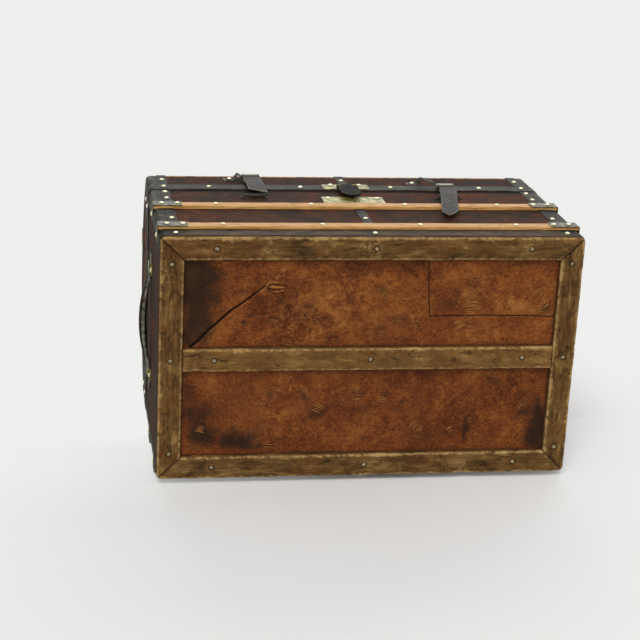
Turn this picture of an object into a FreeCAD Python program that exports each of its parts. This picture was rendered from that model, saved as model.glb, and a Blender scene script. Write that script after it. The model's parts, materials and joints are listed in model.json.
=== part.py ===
import FreeCAD, Part

import math
import os
from types import SimpleNamespace

import Sketcher
from FreeCAD import Placement, Rotation, Vector

# A dome top travelling trunk, standing upright. Millimetres. +Z is up, X runs along the trunk's
# length, the front with its lock faces -Y. The origin is the middle of the base, on the floor.
# "offset" is always a distance outwards from the leather of the face that a piece sits on.

SIZES = [
    ("trunk_length", 810.0, "length over the leather"),
    ("trunk_depth", 485.0, "depth over the leather"),
    ("parting_height", 342.0, "floor to the joint between body and lid"),
    ("shoulder_height", 455.0, "floor to the straight edge where the dome starts"),
    ("dome_rise", 106.0, "height of the dome above its shoulders"),
    ("leather_thickness", 1.5, "leather on body and lid"),
    ("board_thickness", 9.0, "front, back and end boards, and the lid's rails"),
    ("bottom_thickness", 9.0, "bottom board"),
    ("stave_thickness", 8.0, "dome staves"),
    ("lining_thickness", 0.8, "lining inside body and lid"),
    ("corner_radius", 8.0, "upright corners of the boards"),
    ("lid_gap", 0.8, "joint between body and lid when shut"),
    ("groove_height", 3.5, "bare board below the joint, under the rim band"),
    ("batten_width", 45.0, "bottom battens"),
    ("batten_thickness", 12.0, "bottom battens"),
    ("batten_bevel", 4.0, "worn outer edge of the battens"),
    ("screw_radius", 4.6, "head of a batten screw"),
    ("screw_crown", 1.8, "height of a batten screw's head"),
    ("screw_sink", 2.4, "depth of the counterbore that a screw head lies in"),
    ("screw_clearance", 0.7, "counterbore radius less head radius"),
    ("screw_pitch_long", 300.0, "screws along the long battens"),
    ("screw_pitch_short", 190.0, "screws along the short battens"),
    ("slat_width", 27.0, "wooden slats on body and dome"),
    ("slat_thickness", 6.5, "wooden slats"),
    ("slat_round", 2.6, "rounded edges of the slats"),
    ("lower_slat_height", 53.0, "floor to the lower edge of the lower slats"),
    ("upper_slat_height", 198.0, "floor to the lower edge of the upper slats"),
    ("dome_slat_spread", 85.0, "dome slats, from the middle plane"),
    ("clamp_thickness", 1.2, "sheet metal clamps over the slat ends"),
    ("clamp_width", 31.0, "clamp, across the slat"),
    ("clamp_leg", 55.0, "clamp, along the slat"),
    ("clamp_return", 28.0, "clamp, along the trunk's end"),
    ("dome_clamp_return", 30.0, "dome clamp, down the lid's end"),
    ("binding_thickness", 1.0, "corner bindings, corner caps and edge strips"),
    ("binding_front_leg", 20.0, "corner binding on front and back"),
    ("binding_end_leg", 30.0, "corner binding on the ends"),
    ("cap_end_leg", 78.0, "lid corner cap on the ends"),
    ("cap_top_margin", 6.0, "lid corner cap's top edge below the shoulder"),
    ("band_width", 19.0, "upright steel bands"),
    ("band_thickness", 1.2, "upright steel bands"),
    ("band_seat", 0.05, "bands clear of the dome's leather"),
    ("band_spread", 375.0, "outer bands, from the middle"),
    ("band_foot_height", 14.0, "floor to the bands' lower ends"),
    ("rim_band_height", 36.0, "steel band round the lid's lower edge"),
    ("rim_band_thickness", 2.0, "steel band round the lid's lower edge"),
    ("band_nail_foot", 13.0, "lowest band nail above the band's foot"),
    ("band_nail_rise", 48.0, "band nail above the slat under it"),
    ("band_nail_drop", 17.5, "highest band nail below the covering's top"),
    ("nail_radius", 5.0, "brass nail head"),
    ("nail_crown", 2.2, "height of a brass nail head"),
    ("nail_pitch", 189.0, "nails along slats and rim band"),
    ("clamp_nail_inset", 16.0, "outer clamp nail, from the trunk's end"),
    ("clamp_nail_pitch", 30.0, "between the two nails on a clamp"),
    ("lock_plate_length", 125.0, "brass lock plate"),
    ("lock_height", 278.0, "floor to the lock's bolt and the hasp's nose"),
    ("lock_plate_rise", 12.0, "lock plate's top edge above the bolt"),
    ("lock_plate_thickness", 1.2, "brass lock plate"),
    ("lock_plate_round", 4.0, "corners of the lock plate"),
    ("lock_case_length", 56.0, "lock case let into the front board"),
    ("lock_case_depth", 8.5, "lock case"),
    ("lock_case_rise", 8.0, "lock case's top above the bolt"),
    ("lock_case_drop", 41.0, "lock case's underside below the bolt"),
    ("keyhole_radius", 2.6, "keyhole's round part"),
    ("keyhole_slot", 6.0, "keyhole's straight part"),
    ("keyhole_drop", 22.0, "keyhole below the bolt"),
    ("keyhole_depth", 7.0, "keyhole, through the plate into the case"),
    ("bolt_size", 2.6, "lock bolt, square section"),
    ("bolt_length", 20.0, "lock bolt"),
    ("bolt_throw", 5.5, "lock bolt's travel"),
    ("bolt_clearance", 0.3, "lock bolt in its channel"),
    ("bolt_set_back", 0.5, "lock bolt behind the lock plate"),
    ("plate_nail_inset", 12.0, "nails of the lock plate, from its edges"),
    ("hasp_plate_length", 96.0, "brass plate that carries the hasp"),
    ("hasp_plate_thickness", 1.5, "brass plate that carries the hasp"),
    ("hasp_plate_low", 345.0, "floor to the hasp plate's lower edge"),
    ("hasp_plate_margin", 1.0, "hasp plate above the rim band's top edge"),
    ("hasp_axis_rise", 9.2, "hasp pin above the lid's lower edge"),
    ("hasp_nail_inset", 18.0, "hasp plate's nails, from its ends"),
    ("hasp_clearance", 0.4, "hasp's knuckle to its plate"),
    ("hasp_knuckle_radius", 3.5, "hasp hinge"),
    ("hasp_pin_radius", 1.2, "hasp hinge"),
    ("hasp_knuckle_length", 22.0, "the hasp's own knuckle"),
    ("hasp_plate_knuckle", 9.0, "each of the plate's two knuckles"),
    ("hasp_width", 42.0, "hasp"),
    ("hasp_thickness", 2.0, "hasp"),
    ("hasp_neck", 4.8, "pin to the hasp's shoulders"),
    ("hasp_shoulder", 2.0, "fall of the hasp's shoulders"),
    ("nose_width", 3.5, "hasp's nose, along the bolt"),
    ("nose_height", 6.0, "hasp's nose"),
    ("nose_rise", 8.0, "hasp's tip to the middle of its nose"),
    ("nose_clearance", 0.5, "nose to the lock plate when the hasp hangs free"),
    ("nose_eye", 3.4, "square eye in the nose"),
    ("nose_web", 0.7, "metal of the nose beyond its eye"),
    ("nose_lift", 0.5, "how far the nose rises as it swings home"),
    ("nose_slot_clearance", 1.0, "slot in the lock plate round the nose"),
    ("strap_spread", 200.0, "strap loops, from the middle"),
    ("strap_slip", 10.0, "straps at their folds, to the right of their loops"),
    ("right_strap_drop", 72.0, "right strap's fold below the left one's"),
    ("strap_width", 36.0, "leather straps"),
    ("strap_thickness", 3.0, "leather straps"),
    ("strap_seat", 0.3, "strap's back to the lid's rim band"),
    ("strap_fold_drop", 10.0, "strap's fold below its keeper"),
    ("keeper_rise", 35.2, "keeper above the rim band"),
    ("keeper_width", 22.0, "keeper, up and down"),
    ("keeper_thickness", 2.5, "keeper"),
    ("keeper_foot", 20.0, "nailed foot of a keeper"),
    ("keeper_nail_inset", 11.0, "keeper's nail from its end"),
    ("left_keeper_reach", 45.0, "left keeper's nail to its strap's middle"),
    ("right_keeper_reach", 62.0, "right keeper's nail to its strap's middle"),
    ("left_keeper_lift", 0.0, "left keeper's nail above its fold"),
    ("right_keeper_lift", 45.0, "right keeper's nail above its fold"),
    ("keeper_arch", 15.0, "how far a keeper stands off between its nail and its fold"),
    ("keeper_rise_run", 7.0, "length over which a keeper rises from its foot"),
    ("keeper_fall_run", 6.0, "length over which a keeper falls to its fold"),
    ("keeper_entry", 2.0, "keeper's straight part outside its fold"),
    ("keeper_end", 1.0, "keeper's end inside the strap's edge"),
    ("keeper_lap", 1.5, "outer corners of a keeper's arch beyond the inner ones"),
    ("strap_play", 0.3, "strap to keeper"),
    ("tongue_gap", 0.4, "fold to tongue"),
    ("tongue_kick", 2.6, "how far the tongue stands off below its fold"),
    ("tongue_kick_drop", 74.0, "length over which it does so"),
    ("short_tongue_tip", 5.0, "short tongue's tip above its loop's lower edge"),
    ("long_tongue_drop", 164.0, "long tongue's tip below its loop's lower edge"),
    ("short_tongue_slant", 27.0, "short tongue's left corner above its tip"),
    ("long_tongue_slant", 38.0, "long tongue's right corner above its tip"),
    ("long_tongue_shoulder", 26.0, "long tongue's left corner above its tip"),
    ("long_tongue_nose", 8.0, "long tongue's tip, from its left edge"),
    ("long_tongue_lean", 37.0, "how far the long tongue runs to the left"),
    ("strap_loop_height", 278.0, "floor to the metal strap loops on the body"),
    ("strap_loop_width", 10.0, "metal strap loops, up and down"),
    ("strap_loop_span", 40.0, "clear width inside a metal strap loop"),
    ("strap_loop_clear", 5.2, "clear height inside a metal strap loop"),
    ("strap_loop_thickness", 2.0, "metal of the strap loops"),
    ("strap_loop_foot", 5.0, "feet of the strap loops"),
    ("handle_height", 240.0, "floor to the middle of the handles"),
    ("handle_width", 26.0, "leather handle, up and down"),
    ("handle_reach", 101.0, "middle of a handle to where its loop starts"),
    ("handle_seat", 0.2, "handle's back to the end leather, at the loops"),
    ("handle_thickness", 4.0, "handle's leather at the loops"),
    ("handle_gap", 8.5, "finger room behind the middle of the grip"),
    ("handle_bulge", 24.0, "end leather to the outside of the grip"),
    ("handle_tab", 24.0, "handle's end beyond its loop"),
    ("handle_bevel", 1.6, "edges of the handle"),
    ("grip_half_length", 72.0, "stiff middle of the handle"),
    ("grip_gap", 0.5, "grip to the soft ends"),
    ("handle_loop_width", 20.0, "metal loop, along the handle"),
    ("handle_loop_thickness", 1.4, "metal of the handle loops"),
    ("handle_loop_clearance", 0.4, "handle in its loops"),
    ("handle_loop_foot", 11.0, "feet of the handle loops"),
    ("hinge_spread", 250.0, "back hinges, from the middle"),
    ("hinge_knuckle_radius", 4.0, "back hinges"),
    ("hinge_pin_radius", 1.6, "back hinge pins"),
    ("hinge_pin_clearance", 0.05, "pin in the lid's knuckle"),
    ("hinge_lid_knuckle", 20.0, "the lid's knuckle"),
    ("hinge_body_knuckle", 10.0, "each of the body's two knuckles"),
    ("hinge_leaf_thickness", 2.0, "hinge leaves"),
    ("hinge_body_leaf", 52.0, "body leaf below the pin"),
    ("hinge_lid_leaf", 28.0, "lid leaf above the pin"),
    ("hinge_clearance", 0.5, "knuckles to the rim band, and to each other's leaves"),
    ("knuckle_gap", 0.3, "between neighbouring knuckles"),
]
STAVE_COUNT = 6
NAILS_PER_ROW = 4
HEAD_FACETS = 8
FLAT = 0.01
SIDES = {"left": -1, "right": 1}
FACES = {"front": -1, "back": 1}


class Size:
    """A length that knows its value now and the sheet expression that drives it."""

    def __init__(self, value, text=None):
        self.value = float(value)
        self.text = text or repr(self.value)

    def __add__(self, other):
        other = size(other)
        return Size(self.value + other.value, f"({self.text} + {other.text})")

    def __sub__(self, other):
        other = size(other)
        return Size(self.value - other.value, f"({self.text} - {other.text})")

    def __mul__(self, other):
        other = size(other)
        return Size(self.value * other.value, f"({self.text} * {other.text})")

    def __truediv__(self, other):
        other = size(other)
        return Size(self.value / other.value, f"({self.text} / {other.text})")

    def __neg__(self):
        return self * -1

    def __rsub__(self, other):
        return size(other) - self

    __radd__ = __add__
    __rmul__ = __mul__


def size(number):
    """A plain number as a Size, and a Size as it is."""
    return number if isinstance(number, Size) else Size(number)


def root(square):
    """Square root of a Size."""
    return Size(math.sqrt(square.value), f"sqrt({square.text})")


doc = FreeCAD.newDocument("DomeTopTrunk")
sheet = doc.addObject("Spreadsheet::Sheet", "Sizes")
for row, (alias, number, meaning) in enumerate(SIZES, start=1):
    sheet.set(f"A{row}", meaning)
    sheet.set(f"B{row}", str(number))
    sheet.setAlias(f"B{row}", alias)
doc.recompute()
dim = SimpleNamespace(**{alias: Size(sheet.get(alias), f"Sizes.{alias}") for alias, _, _ in SIZES})
nodes = {}


def bind(thing, name, length):
    """Drives a property from the sheet."""
    thing.setExpression(name, size(length).text)


def place(thing, at):
    for axis, length in zip("xyz", at):
        bind(thing, f"Placement.Base.{axis}", length)
    return thing


def node(label, thing):
    """Names a finished sub-part and puts it on the list of those that are written out."""
    thing.Label = label
    nodes[label] = thing
    return thing


def box(name, low, high):
    """A block between two corners."""
    block = doc.addObject("Part::Box", name)
    for side, start, end in zip(("Length", "Width", "Height"), low, high):
        bind(block, side, end - start)
    return place(block, low)


def cylinder(name, radius, length, at, direction):
    """A round bar from a point along a direction."""
    bar = doc.addObject("Part::Cylinder", name)
    bar.Placement = Placement(Vector(), Rotation(Vector(0, 0, 1), direction))
    bind(bar, "Radius", radius)
    bind(bar, "Height", length)
    return place(bar, at)


def boolean(kind, name, base, tool):
    result = doc.addObject(f"Part::{kind}", name)
    result.Base = base
    result.Tool = tool
    return result


def cut(name, base, *tools):
    tool = tools[0] if len(tools) == 1 else fuse(f"{name}_tools", *tools)
    return boolean("Cut", name, base, tool)


def common(name, base, tool):
    return boolean("Common", name, base, tool)


def fuse(name, *things):
    result = doc.addObject("Part::MultiFuse", name)
    result.Shapes = list(things)
    return result


def group(name, things):
    """Separate solids that share a node."""
    result = doc.addObject("Part::Compound", name)
    result.Links = list(things)
    return result


def solids(name, shapes):
    """Separate solids made with Part's own functions, such as nail heads, in one node."""
    result = doc.addObject("Part::Feature", name)
    result.Shape = Part.makeCompound(list(shapes))
    result.Placement = Placement()
    return result


def draw_arc(sketch, start, end, centre):
    """Adds the short arc from start to end and says which of its ends comes first."""
    turn = (start - centre).cross(end - centre).z > 0
    first, last = (start, end) if turn else (end, start)
    angles = [math.atan2(p.y - centre.y, p.x - centre.x) for p in (first, last)]
    if angles[1] < angles[0]:
        angles[1] += 2 * math.pi
    circle = Part.Circle(centre, Vector(0, 0, 1), (start - centre).Length)
    index = sketch.addGeometry(Part.ArcOfCircle(circle, *angles))
    return (index, 1, 2) if turn else (index, 2, 1)


def hold_number(sketch, name, length, *constraint):
    """A dimension in a sketch, driven from the sheet."""
    index = sketch.addConstraint(Sketcher.Constraint(*constraint, size(length).value))
    sketch.renameConstraint(index, name)
    bind(sketch, f"Constraints.{name}", length)


def outline(sketch, corners, arcs=None):
    """Draws a closed outline. A corner is (x, y) or (x, y, radius of its rounding). arcs gives the
    radius of the edges that are arcs, by the number of the corner they start from: positive if
    the arc bulges to the right of the way round."""
    arcs = arcs or {}
    count = len(corners)
    tag = f"c{sketch.GeometryCount}"
    places = [Vector(size(c[0]).value, size(c[1]).value, 0) for c in corners]
    starts, ends, rounds = list(places), list(places), {}
    for i, corner in enumerate(corners):
        if len(corner) == 3:
            here, radius = places[i], size(corner[2]).value
            back = (places[i - 1] - here).normalize()
            ahead = (places[(i + 1) % count] - here).normalize()
            half = back.getAngle(ahead) / 2
            ends[i] = here + back * (radius / math.tan(half))
            starts[i] = here + ahead * (radius / math.tan(half))
            centre = here + (back + ahead).normalize() * (radius / math.sin(half))
            rounds[i] = draw_arc(sketch, ends[i], starts[i], centre)
    edges = []
    for i in range(count):
        start, end = starts[i], ends[(i + 1) % count]
        if i in arcs:
            radius = size(arcs[i]).value
            chord = end - start
            side = Vector(-chord.y, chord.x, 0).normalize() * math.copysign(1, radius)
            centre = (start + end) / 2 + side * math.sqrt(radius**2 - (chord.Length / 2) ** 2)
            edges.append(draw_arc(sketch, start, end, centre))
            hold_number(sketch, f"{tag}_bow{i}", size(arcs[i]) * math.copysign(1, radius),
                        "Radius", edges[i][0])
        else:
            edges.append((sketch.addGeometry(Part.LineSegment(start, end)), 1, 2))
    for i, corner in enumerate(corners):
        before, after = edges[i - 1], edges[i]
        if i in rounds:
            bend = rounds[i]
            sketch.addConstraint(Sketcher.Constraint("Tangent", before[0], before[2], bend[0], bend[1]))
            sketch.addConstraint(Sketcher.Constraint("Tangent", bend[0], bend[2], after[0], after[1]))
            hold_number(sketch, f"{tag}_round{i}", corner[2], "Radius", bend[0])
            mark = sketch.addGeometry(Part.Point(places[i]), True)
            sketch.addConstraint(Sketcher.Constraint("PointOnObject", mark, 1, before[0]))
            sketch.addConstraint(Sketcher.Constraint("PointOnObject", mark, 1, after[0]))
            held = (mark, 1)
        else:
            joined = Sketcher.Constraint("Coincident", before[0], before[2], after[0], after[1])
            sketch.addConstraint(joined)
            held = (after[0], after[1])
        hold_number(sketch, f"{tag}_x{i}", corner[0], "DistanceX", -1, 1, *held)
        hold_number(sketch, f"{tag}_y{i}", corner[1], "DistanceY", -1, 1, *held)


def prism(name, plane, outlines, length, at=(0, 0, 0), tilt=None, middle=False):
    """A body padded from a sketch. plane is XY, XZ or YZ, the pad runs along +Z, +Y or +X, and
    middle lets it run both ways. tilt is a turn about X whose sine is given."""
    body = doc.addObject("PartDesign::Body", name)
    sketch = body.newObject("Sketcher::SketchObject", f"{name}_profile")
    origin_plane = next(f for f in body.Origin.OriginFeatures if f.Role == f"{plane}_Plane")
    sketch.AttachmentSupport = (origin_plane, [""])
    sketch.MapMode = "FlatFace"
    for corners, arcs in outlines:
        outline(sketch, corners, arcs)
    pad = body.newObject("PartDesign::Pad", f"{name}_pad")
    pad.Profile = sketch
    pad.Reversed = plane == "XZ"
    pad.Midplane = middle
    bind(pad, "Length", length)
    if tilt is not None:
        body.Placement = Placement(Vector(), Rotation(Vector(1, 0, 0), 1))
        body.setExpression("Placement.Rotation.Angle", f"asin({tilt.text})")
    return place(body, at)


def bevel(body, edges, width):
    """Bevels edges of a body's last feature."""
    base = body.Tip
    chamfer = body.newObject("PartDesign::Chamfer", f"{body.Name}_bevel")
    chamfer.Base = (base, edges)
    bind(chamfer, "Size", width)
    return body


def between(*ends):
    """Two lengths, the lower one first."""
    return sorted(ends, key=lambda length: length.value)


def rounded_rectangle(half_x, half_y, radius):
    return [(x * half_x, y * half_y, radius) for x, y in ((-1, -1), (1, -1), (1, 1), (-1, 1))]


def ring(name, half_x, half_y, radius, thickness, low, high):
    """A hollow rectangle with rounded corners, standing up. The half sizes are its inner ones."""
    inner = rounded_rectangle(half_x, half_y, radius)
    outer = rounded_rectangle(half_x + thickness, half_y + thickness, radius + thickness)
    return prism(name, "XY", [(outer, None), (inner, None)], high - low, (0, 0, low))


# Where things are, worked out from the sizes.

half_length = dim.trunk_length / 2
half_depth = dim.trunk_depth / 2
wood_x = half_length - dim.leather_thickness
wood_y = half_depth - dim.leather_thickness
room_x = wood_x - dim.board_thickness
room_y = wood_y - dim.board_thickness
leather_radius = dim.corner_radius + dim.leather_thickness
floor_leather = dim.batten_thickness + dim.leather_thickness
floor_top = floor_leather + dim.bottom_thickness
body_top = dim.parting_height
covering_top = body_top - dim.groove_height
lid_bottom = dim.parting_height + dim.lid_gap
rim_top = lid_bottom + dim.rim_band_height
upper_slat_top = dim.upper_slat_height + dim.slat_width
lock_plate_top = dim.lock_height + dim.lock_plate_rise
hasp_axis_height = lid_bottom + dim.hasp_axis_rise
dome_radius = (half_depth * half_depth + dim.dome_rise * dim.dome_rise) / (dim.dome_rise * 2)
dome_axis = dim.shoulder_height + dim.dome_rise - dome_radius
stave_outer = dome_radius - dim.leather_thickness
stave_inner = stave_outer - dim.stave_thickness
band_places = {"left": -dim.band_spread, "centre": size(0), "right": dim.band_spread}
slat_heights = {"lower": dim.lower_slat_height, "upper": dim.upper_slat_height}


def dome_height(radius, y):
    """Height of a circle about the dome's axis at a distance from the middle plane."""
    return dome_axis + root(radius * radius - y * y)


# Bottom: mitred battens with sunk screws, leather, board.


def bottom_frame():
    """Four mitred battens and a centre one, cut from a slab with rounded corners and worn edges."""
    inner_x, inner_y = half_length - dim.batten_width, half_depth - dim.batten_width
    slab = frame_envelope()
    seats = screw_seats()
    for face, sign in FACES.items():
        outer, inner = sign * half_depth, sign * inner_y
        corners = [(-half_length, outer), (half_length, outer), (inner_x, inner), (-inner_x, inner)]
        batten(face, corners, slab, seats)
    for side, sign in SIDES.items():
        outer, inner = sign * half_length, sign * inner_x
        corners = [(outer, -half_depth), (outer, half_depth), (inner, inner_y), (inner, -inner_y)]
        batten(side, corners, slab, seats)
    half = dim.batten_width / 2
    centre = box("batten_centre_blank", (-inner_x, -half, 0), (inner_x, half, dim.batten_thickness))
    node("batten_centre", cut("batten_centre", centre, seats))


def batten(name, corners, slab, seats):
    blank = prism(f"batten_{name}_blank", "XY", [(corners, None)], dim.batten_thickness)
    shaped = common(f"batten_{name}_shaped", blank, slab)
    node(f"batten_{name}", cut(f"batten_{name}", shaped, seats))


def frame_envelope():
    plan = rounded_rectangle(half_length, half_depth, leather_radius)
    slab = prism("frame_envelope", "XY", [(plan, None)], dim.batten_thickness)
    doc.recompute()
    lower = [f"Edge{i}" for i, edge in enumerate(slab.Shape.Edges, start=1) if edge.BoundBox.ZMax < FLAT]
    return bevel(slab, lower, dim.batten_bevel)


def screw_places():
    edge = dim.batten_width / 2
    rows = [(k * dim.screw_pitch_long, f * (half_depth - edge)) for f in (-1, 1) for k in (-1, 0, 1)]
    rows += [(s * (half_length - edge), k * dim.screw_pitch_short) for s in (-1, 1) for k in (-1, 0, 1)]
    return rows + [(k * dim.screw_pitch_long, size(0)) for k in (-1, 0, 1)]


def screw_seats():
    """Counterbores for all the batten screws, with as many facets as the screw heads."""
    seats = []
    for i, (x, y) in enumerate(screw_places()):
        seat = doc.addObject("Part::Prism", f"screw_seat_{i}")
        seat.Polygon = HEAD_FACETS
        bind(seat, "Circumradius", dim.screw_radius + dim.screw_clearance)
        bind(seat, "Height", dim.screw_sink)
        seats.append(place(seat, (x, y, 0)))
    return group("screw_seats", seats)


def bottom_screws():
    """Round heads that lie in their counterbores, clear of the floor."""
    head = crowned_head(dim.screw_radius.value, dim.screw_crown.value)
    heads = [set_head(head, x, y, dim.screw_sink, Vector(0, 0, -1)) for x, y in screw_places()]
    node("bottom_screws", solids("bottom_screws", heads))


def bottom():
    bottom_frame()
    bottom_screws()
    plan = rounded_rectangle(wood_x, wood_y, dim.corner_radius)
    node("bottom_leather", prism("bottom_leather", "XY", [(plan, None)], dim.leather_thickness,
                                 (0, 0, dim.batten_thickness)))
    node("bottom_board", prism("bottom_board", "XY", [(plan, None)], dim.bottom_thickness,
                               (0, 0, floor_leather)))


# Body: boards, leather, lining, corner bindings, edge strips, bands, slats and clamps.


def lock_case_box():
    """Where the lock case is let into the leather and the front board."""
    half = dim.lock_case_length / 2
    low = (-half, -half_depth, dim.lock_height - dim.lock_case_drop)
    return low, (half, dim.lock_case_depth - half_depth, dim.lock_height + dim.lock_case_rise)


def long_board(name, face, low, high):
    """Front or back board, with its two outer upright corners rounded."""
    sign = FACES[face]
    corners = [(-wood_x, sign * room_y), (wood_x, sign * room_y),
               (wood_x, sign * wood_y, dim.corner_radius), (-wood_x, sign * wood_y, dim.corner_radius)]
    return prism(name, "XY", [(corners, None)], high - low, (0, 0, low))


def carcass():
    recess = box("lock_recess", *lock_case_box())
    front = long_board("front_board_blank", "front", floor_top, body_top)
    node("front_board", cut("front_board", front, recess))
    node("back_board", long_board("back_board", "back", floor_top, body_top))
    for side, sign in SIDES.items():
        start, end = between(sign * room_x, sign * wood_x)
        node(f"end_board_{side}", box(f"end_board_{side}", (start, -room_y, floor_top),
                                      (end, room_y, body_top)))
    covering = ring("body_leather_blank", wood_x, wood_y, dim.corner_radius, dim.leather_thickness,
                    dim.batten_thickness, covering_top)
    node("body_leather", cut("body_leather", covering, recess))
    skin = dim.lining_thickness
    outside = box("body_lining_outside", (-room_x, -room_y, floor_top), (room_x, room_y, body_top))
    inside = box("body_lining_inside", (skin - room_x, skin - room_y, floor_top + skin),
                 (room_x - skin, room_y - skin, body_top + skin))
    node("body_lining", cut("body_lining", outside, inside))


def corner_pieces(name, low, high, front_leg, end_leg):
    """Four upright corner pieces: a ring with its straight middles taken out."""
    hoop = ring(f"{name}_hoop", half_length, half_depth, leather_radius, dim.binding_thickness, low, high)
    far = dim.trunk_length
    x, y = half_length - front_leg, half_depth - end_leg
    return cut(name, hoop, box(f"{name}_across", (-x, -far, low), (x, far, high)),
               box(f"{name}_along", (-far, -y, low), (far, y, high)))


def upright_bands():
    bands = []
    half = dim.band_width / 2
    for face, sign in FACES.items():
        for place_name, x in band_places.items():
            at_lock = face == "front" and place_name == "centre"
            top = upper_slat_top if at_lock else covering_top
            y_low, y_high = between(sign * half_depth, sign * (half_depth + dim.band_thickness))
            bands.append(box(f"body_band_{face}_{place_name}", (x - half, y_low, dim.band_foot_height),
                             (x + half, y_high, top)))
    return group("body_bands", bands)


def slats_and_trim():
    bands = node("body_bands", upright_bands())
    bindings = node("body_corner_bindings",
                    corner_pieces("body_corner_bindings", dim.batten_thickness, covering_top,
                                  dim.binding_front_leg, dim.binding_end_leg))
    strips = []
    half = half_length - dim.binding_front_leg
    for face, sign in FACES.items():
        y_low, y_high = between(sign * half_depth, sign * (half_depth + dim.binding_thickness))
        strip = box(f"edge_strip_{face}", (-half, y_low, dim.batten_thickness),
                    (half, y_high, dim.lower_slat_height))
        strips.append(cut(f"edge_strip_{face}_cut", strip, bands))
        for height_name, height in slat_heights.items():
            name = f"slat_{face}_{height_name}"
            outer = sign * (half_depth + dim.slat_thickness)
            corners = [(sign * half_depth, height), (sign * half_depth, height + dim.slat_width),
                       (outer, height + dim.slat_width, dim.slat_round), (outer, height, dim.slat_round)]
            reach = half_length + dim.binding_thickness
            blank = prism(f"{name}_blank", "YZ", [(corners, None)], reach * 2, (-reach, 0, 0))
            node(name, cut(name, blank, bands, bindings))
    node("bottom_edge_strips", group("bottom_edge_strips", strips))


def body_clamps():
    """Sheet bent over each slat's end and round the corner onto the trunk's end."""
    clamps = []
    face_in = half_depth + dim.slat_thickness
    face_out = face_in + dim.clamp_thickness
    end_in = half_length + dim.binding_thickness
    end_out = end_in + dim.clamp_thickness
    leg_end, return_end = half_length - dim.clamp_leg, half_depth - dim.clamp_return
    for side, sx in SIDES.items():
        for face, sy in FACES.items():
            corners = [(end_out, face_out, dim.slat_round), (leg_end, face_out), (leg_end, face_in),
                       (end_in, face_in), (end_in, return_end), (end_out, return_end)]
            corners = [(sx * x, sy * y, *rest) for x, y, *rest in corners]
            for height_name, height in slat_heights.items():
                low = height + dim.slat_width / 2 - dim.clamp_width / 2
                clamps.append(prism(f"clamp_{side}_{face}_{height_name}", "XY", [(corners, None)],
                                    dim.clamp_width, (0, 0, low)))
    node("body_slat_clamps", group("body_slat_clamps", clamps))


# Lid: rails, arched ends, staves, leather, lining, rim band, caps, bands, slats and clamps.


def dome_profile(half, radius, low):
    """Cross-section of a lid: straight sides and an arched top, as an outline and its arc."""
    top = dome_height(radius, half)
    return [(-half, low), (half, low), (half, top), (-half, top)], {2: radius}


def lid_carcass():
    plan = rounded_rectangle(wood_x, wood_y, dim.corner_radius)
    envelope = prism("lid_envelope", "XY", [(plan, None)],
                     dim.shoulder_height + dim.dome_rise - lid_bottom, (0, 0, lid_bottom))
    for face, sign in FACES.items():
        y_out, y_in = sign * wood_y, sign * room_y
        corners = [(y_in, lid_bottom), (y_out, lid_bottom), (y_out, dome_height(stave_inner, wood_y)),
                   (y_in, dome_height(stave_inner, room_y))]
        blank = prism(f"lid_{face}_rail_blank", "YZ", [(corners, {2: stave_inner * sign})],
                      wood_x * 2, (-wood_x, 0, 0))
        node(f"lid_{face}_rail", common(f"lid_{face}_rail", blank, envelope))
    for side, sign in SIDES.items():
        start, _ = between(sign * room_x, sign * wood_x)
        arched = dome_profile(room_y, stave_inner, lid_bottom)
        node(f"lid_end_{side}", prism(f"lid_end_{side}", "YZ", [arched], dim.board_thickness,
                                      (start, 0, 0)))
    for i in range(STAVE_COUNT):
        dome_stave(i, envelope)


def dome_stave(i, envelope):
    """A stave with radial joints. The outermost edges are upright, flush with the rails."""
    outer = [wood_y * (2 * k / STAVE_COUNT - 1) for k in (i, i + 1)]
    narrowing = stave_inner / stave_outer
    inner = [y if k in (0, STAVE_COUNT) else y * narrowing for k, y in zip((i, i + 1), outer)]
    corners = [(y, dome_height(stave_inner, y)) for y in inner]
    corners += [(y, dome_height(stave_outer, y)) for y in reversed(outer)]
    name = f"dome_stave_{i + 1}"
    blank = prism(f"{name}_blank", "YZ", [(corners, {0: -stave_inner, 2: stave_outer})],
                  wood_x * 2, (-wood_x, 0, 0))
    node(name, common(name, blank, envelope))


def lid_shell(name, half_x, half_y, radius, corner):
    """A solid lid form with rounded upright corners."""
    arch = prism(f"{name}_arch", "YZ", [dome_profile(half_y, radius, lid_bottom)], half_x * 2,
                 (-half_x, 0, 0))
    plan = prism(f"{name}_plan", "XY", [(rounded_rectangle(half_x, half_y, corner), None)],
                 dim.shoulder_height + dim.dome_rise - lid_bottom, (0, 0, lid_bottom))
    return common(name, arch, plan)


def lid_coverings():
    outside = lid_shell("lid_leather_outside", half_length, half_depth, dome_radius, leather_radius)
    inside = lid_shell("lid_leather_inside", wood_x, wood_y, stave_outer, dim.corner_radius)
    node("lid_leather", cut("lid_leather", outside, inside))
    skin = dim.lining_thickness
    outer = dome_profile(room_y, stave_inner, lid_bottom)
    inner = dome_profile(room_y - skin, stave_inner - skin, lid_bottom)
    node("lid_lining", cut("lid_lining",
                           prism("lid_lining_outside", "YZ", [outer], room_x * 2, (-room_x, 0, 0)),
                           prism("lid_lining_inside", "YZ", [inner], (room_x - skin) * 2,
                                 (skin - room_x, 0, 0))))
    node("rim_band", ring("rim_band", half_length, half_depth, leather_radius, dim.rim_band_thickness,
                          lid_bottom, rim_top))
    cap_top = dim.shoulder_height - dim.cap_top_margin
    node("lid_corner_caps", corner_pieces("lid_corner_caps", rim_top, cap_top, dim.binding_front_leg,
                                          dim.cap_end_leg))


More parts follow.
